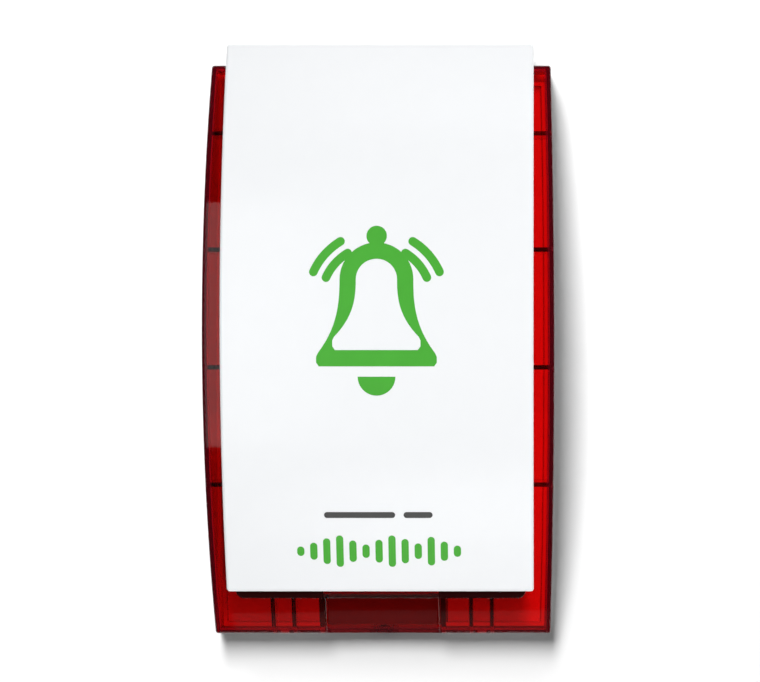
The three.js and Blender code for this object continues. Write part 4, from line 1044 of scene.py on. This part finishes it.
def add_lamp(name, azimuth, elevation, distance, size, radiance):
    """A soft box that faces the middle of the siren. Azimuth 0 is in front, positive to the right."""
    a, e = math.radians(azimuth), math.radians(elevation)
    way = Vector((math.sin(a) * math.cos(e), -math.cos(a) * math.cos(e), math.sin(e)))
    data = bpy.data.lights.new(name, "AREA")
    data.shape = "RECTANGLE"
    data.size, data.size_y = size
    data.energy = radiance * math.pi * size[0] * size[1]
    lamp = bpy.data.objects.new(name, data)
    lamp.location = way * distance
    lamp.rotation_euler = way.to_track_quat("Z", "Y").to_euler()
    lamp.visible_camera = False
    bpy.context.scene.collection.objects.link(lamp)
    return lamp


def linked_group(name, objects, state):
    group = bpy.data.collections.new(name)
    for made in objects:
        group.objects.link(made)
    for entry in group.collection_objects:
        entry.light_linking.link_state = state
    return group


def hide_from_gloss(lamp):
    lamp.visible_glossy = False
    lamp.visible_transmission = False


def light_through(lamp, spares, passes):
    """The lamp leaves the spares alone, and shines through what it passes."""
    hide_from_gloss(lamp)
    lamp.light_linking.receiver_collection = linked_group(lamp.name + " spares", spares, "EXCLUDE")
    lamp.light_linking.blocker_collection = linked_group(lamp.name + " passes", passes, "EXCLUDE")


def light_only(lamp, pieces, passes=()):
    """The lamp lights these pieces alone, and shines through what it passes."""
    hide_from_gloss(lamp)
    lamp.light_linking.receiver_collection = linked_group(lamp.name + " lights", pieces, "INCLUDE")
    if passes:
        lamp.light_linking.blocker_collection = linked_group(lamp.name + " passes", passes, "EXCLUDE")


def add_lamps(stage, lens, face):
    passes = [lens, *stage]
    light_only(add_lamp("wall key", -9.1, 32.5, 4.0, (1.0, 2.6), 26.0), stage)
    light_only(add_lamp("wall wash", 0, 0, 3.0, (3.0, 3.0), 0.6), stage)
    light_only(add_lamp("face key", 6, 50, 2.2, (0.8, 0.8), 8.6), face, passes)
    light_only(add_lamp("face fill", 6, -46, 2.2, (0.8, 1.0), 12.0), face, passes)
    light_through(add_lamp("key", 8, 28, 2.2, (0.3, 1.1), 20.0), stage, passes)
    light_through(add_lamp("low fill", 12, -20, 2.2, (0.6, 1.0), 1.8), stage, passes)
    light_through(add_lamp("right fill", 7.5, 4, 2.2, (0.2, 1.7), 13.5), stage + face, passes)
    light_through(add_lamp("back lamp", 160, 25, 2.0, (1.0, 1.0), 5.0), stage, passes)
    for panel in (add_lamp("left panel", -9.9, -1, 1.52, (0.22, 1.5), 1.0),
                  add_lamp("low panel", -3, -66, 1.5, (0.4, 0.26), 0.14)):
        panel.visible_diffuse = False


def wall_material():
    """White from the front and clear from behind, so that the rear can be looked at."""
    material, tree, shader = new_material("white wall")
    shader.inputs["Base Color"].default_value = (0.93, 0.93, 0.93, 1)
    shader.inputs["Specular IOR Level"].default_value = 0
    vary_roughness(tree, shader, 0.8, 0.9, 8)
    facing = tree.nodes.new("ShaderNodeNewGeometry")
    clear = tree.nodes.new("ShaderNodeBsdfTransparent")
    mix = tree.nodes.new("ShaderNodeMixShader")
    tree.links.new(facing.outputs["Backfacing"], mix.inputs[0])
    tree.links.new(shader.outputs["BSDF"], mix.inputs[1])
    tree.links.new(clear.outputs["BSDF"], mix.inputs[2])
    tree.links.new(mix.outputs["Shader"], tree.nodes["Material Output"].inputs["Surface"])
    return material


def add_stage_sheet(name, corners, material):
    shape = bmesh.new()
    shape.faces.new([shape.verts.new(corner) for corner in corners])
    mesh = bpy.data.meshes.new(name)
    shape.to_mesh(mesh)
    shape.free()
    sheet = bpy.data.objects.new(name, mesh)
    bpy.context.scene.collection.objects.link(sheet)
    mesh.materials.append(material)
    return sheet


def add_stage():
    reach, behind, low, deep = STAGE_REACH, WALL_BEHIND, FLOOR_HEIGHT, FLOOR_DEPTH
    wall_corners = [
        (-reach, behind, low), (reach, behind, low), (reach, behind, reach), (-reach, behind, reach),
    ]
    wall = add_stage_sheet("wall", wall_corners, wall_material())
    pale = plastic("pale floor", (0.8, 0.8, 0.8), 0.7, (40, 0.2))
    floor_corners = [(-reach, -deep, low), (reach, -deep, low), (reach, deep, low), (-reach, deep, low)]
    floor = add_stage_sheet("floor", floor_corners, pale)
    floor.visible_glossy = False
    floor.visible_diffuse = False
    return [wall, floor]


def add_world():
    """Pale to the camera, and nearly dark in reflections, as in a studio."""
    world = bpy.data.worlds.new("studio")
    bpy.context.scene.world = world
    world.use_nodes = True
    tree = world.node_tree
    dim = tree.nodes["Background"]
    dim.inputs["Color"].default_value = (1, 1, 1, 1)
    dim.inputs["Strength"].default_value = 0.02
    pale = tree.nodes.new("ShaderNodeBackground")
    pale.inputs["Color"].default_value = (0.86, 0.87, 0.88, 1)
    seen = tree.nodes.new("ShaderNodeLightPath")
    mix = tree.nodes.new("ShaderNodeMixShader")
    tree.links.new(seen.outputs["Is Camera Ray"], mix.inputs[0])
    tree.links.new(dim.outputs["Background"], mix.inputs[1])
    tree.links.new(pale.outputs["Background"], mix.inputs[2])
    tree.links.new(mix.outputs["Shader"], tree.nodes["World Output"].inputs["Surface"])


# ----------------------------------------------------------
# Scene
# ----------------------------------------------------------


def build_gasket_and_painted_shade():
    """The red-brown gasket, and the dark strips and sheet of painted shade that show through the lens."""
    build_gasket(plastic("foam gasket", (0.03, 0.003, 0.003), 0.9, (900, 0.05), specular=0.08))
    # Dark strips behind the ribs, whose colour paints their shade
    build_painted_rib_shade(plastic("painted rib shade", (0.22, 0.05, 0.05), 0.9, (500, 0.05), specular=0.15))
    # A dark sheet behind the dish, whose colour paints shade in that bay
    build_painted_bay_shade(plastic("painted bay shade", (0.15, 0.03, 0.03), 0.9, (500, 0.1), specular=0.1))


def build_marks():
    green = plastic("green ink", (0.07, 0.40, 0.04), 0.3)
    black = plastic("black ink", (0.07, 0.068, 0.068), 0.35)
    return [
        build_print("bell_mark", bell_shapes(), -60, 60, green),
        build_print("level_mark", level_shapes(), -140, -110, green),
        build_print("rule_mark", rule_shapes(), -112, -98, black),
    ]


def build_inside(kit):
    build_screws(kit)
    build_lock_parts(kit)
    build_cells(kit)
    build_capacitor(kit)
    build_grommet(kit)
    build_leds(kit)
    build_horn(kit)
    build_leads(kit)
    build_pushers(kit)


def main():
    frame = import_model()
    materials = slot_materials()
    lens = build_lens(materials["red_lens"])
    lens.visible_diffuse = False
    build_gasket_and_painted_shade()
    face = [build_cover(materials["white_cover"])]
    face += build_marks()
    slots = {part["node"]: part["material_slot"] for part in frame["record"]["subparts"]}
    kit = {"nodes": frame["nodes"], "slots": slots, "materials": materials}
    build_inside(kit)
    dress_frame(kit)
    stage = add_stage()
    add_world()
    add_lamps(stage, lens, face)
    add_camera()
    bpy.context.scene.view_settings.view_transform = "Standard"


main()
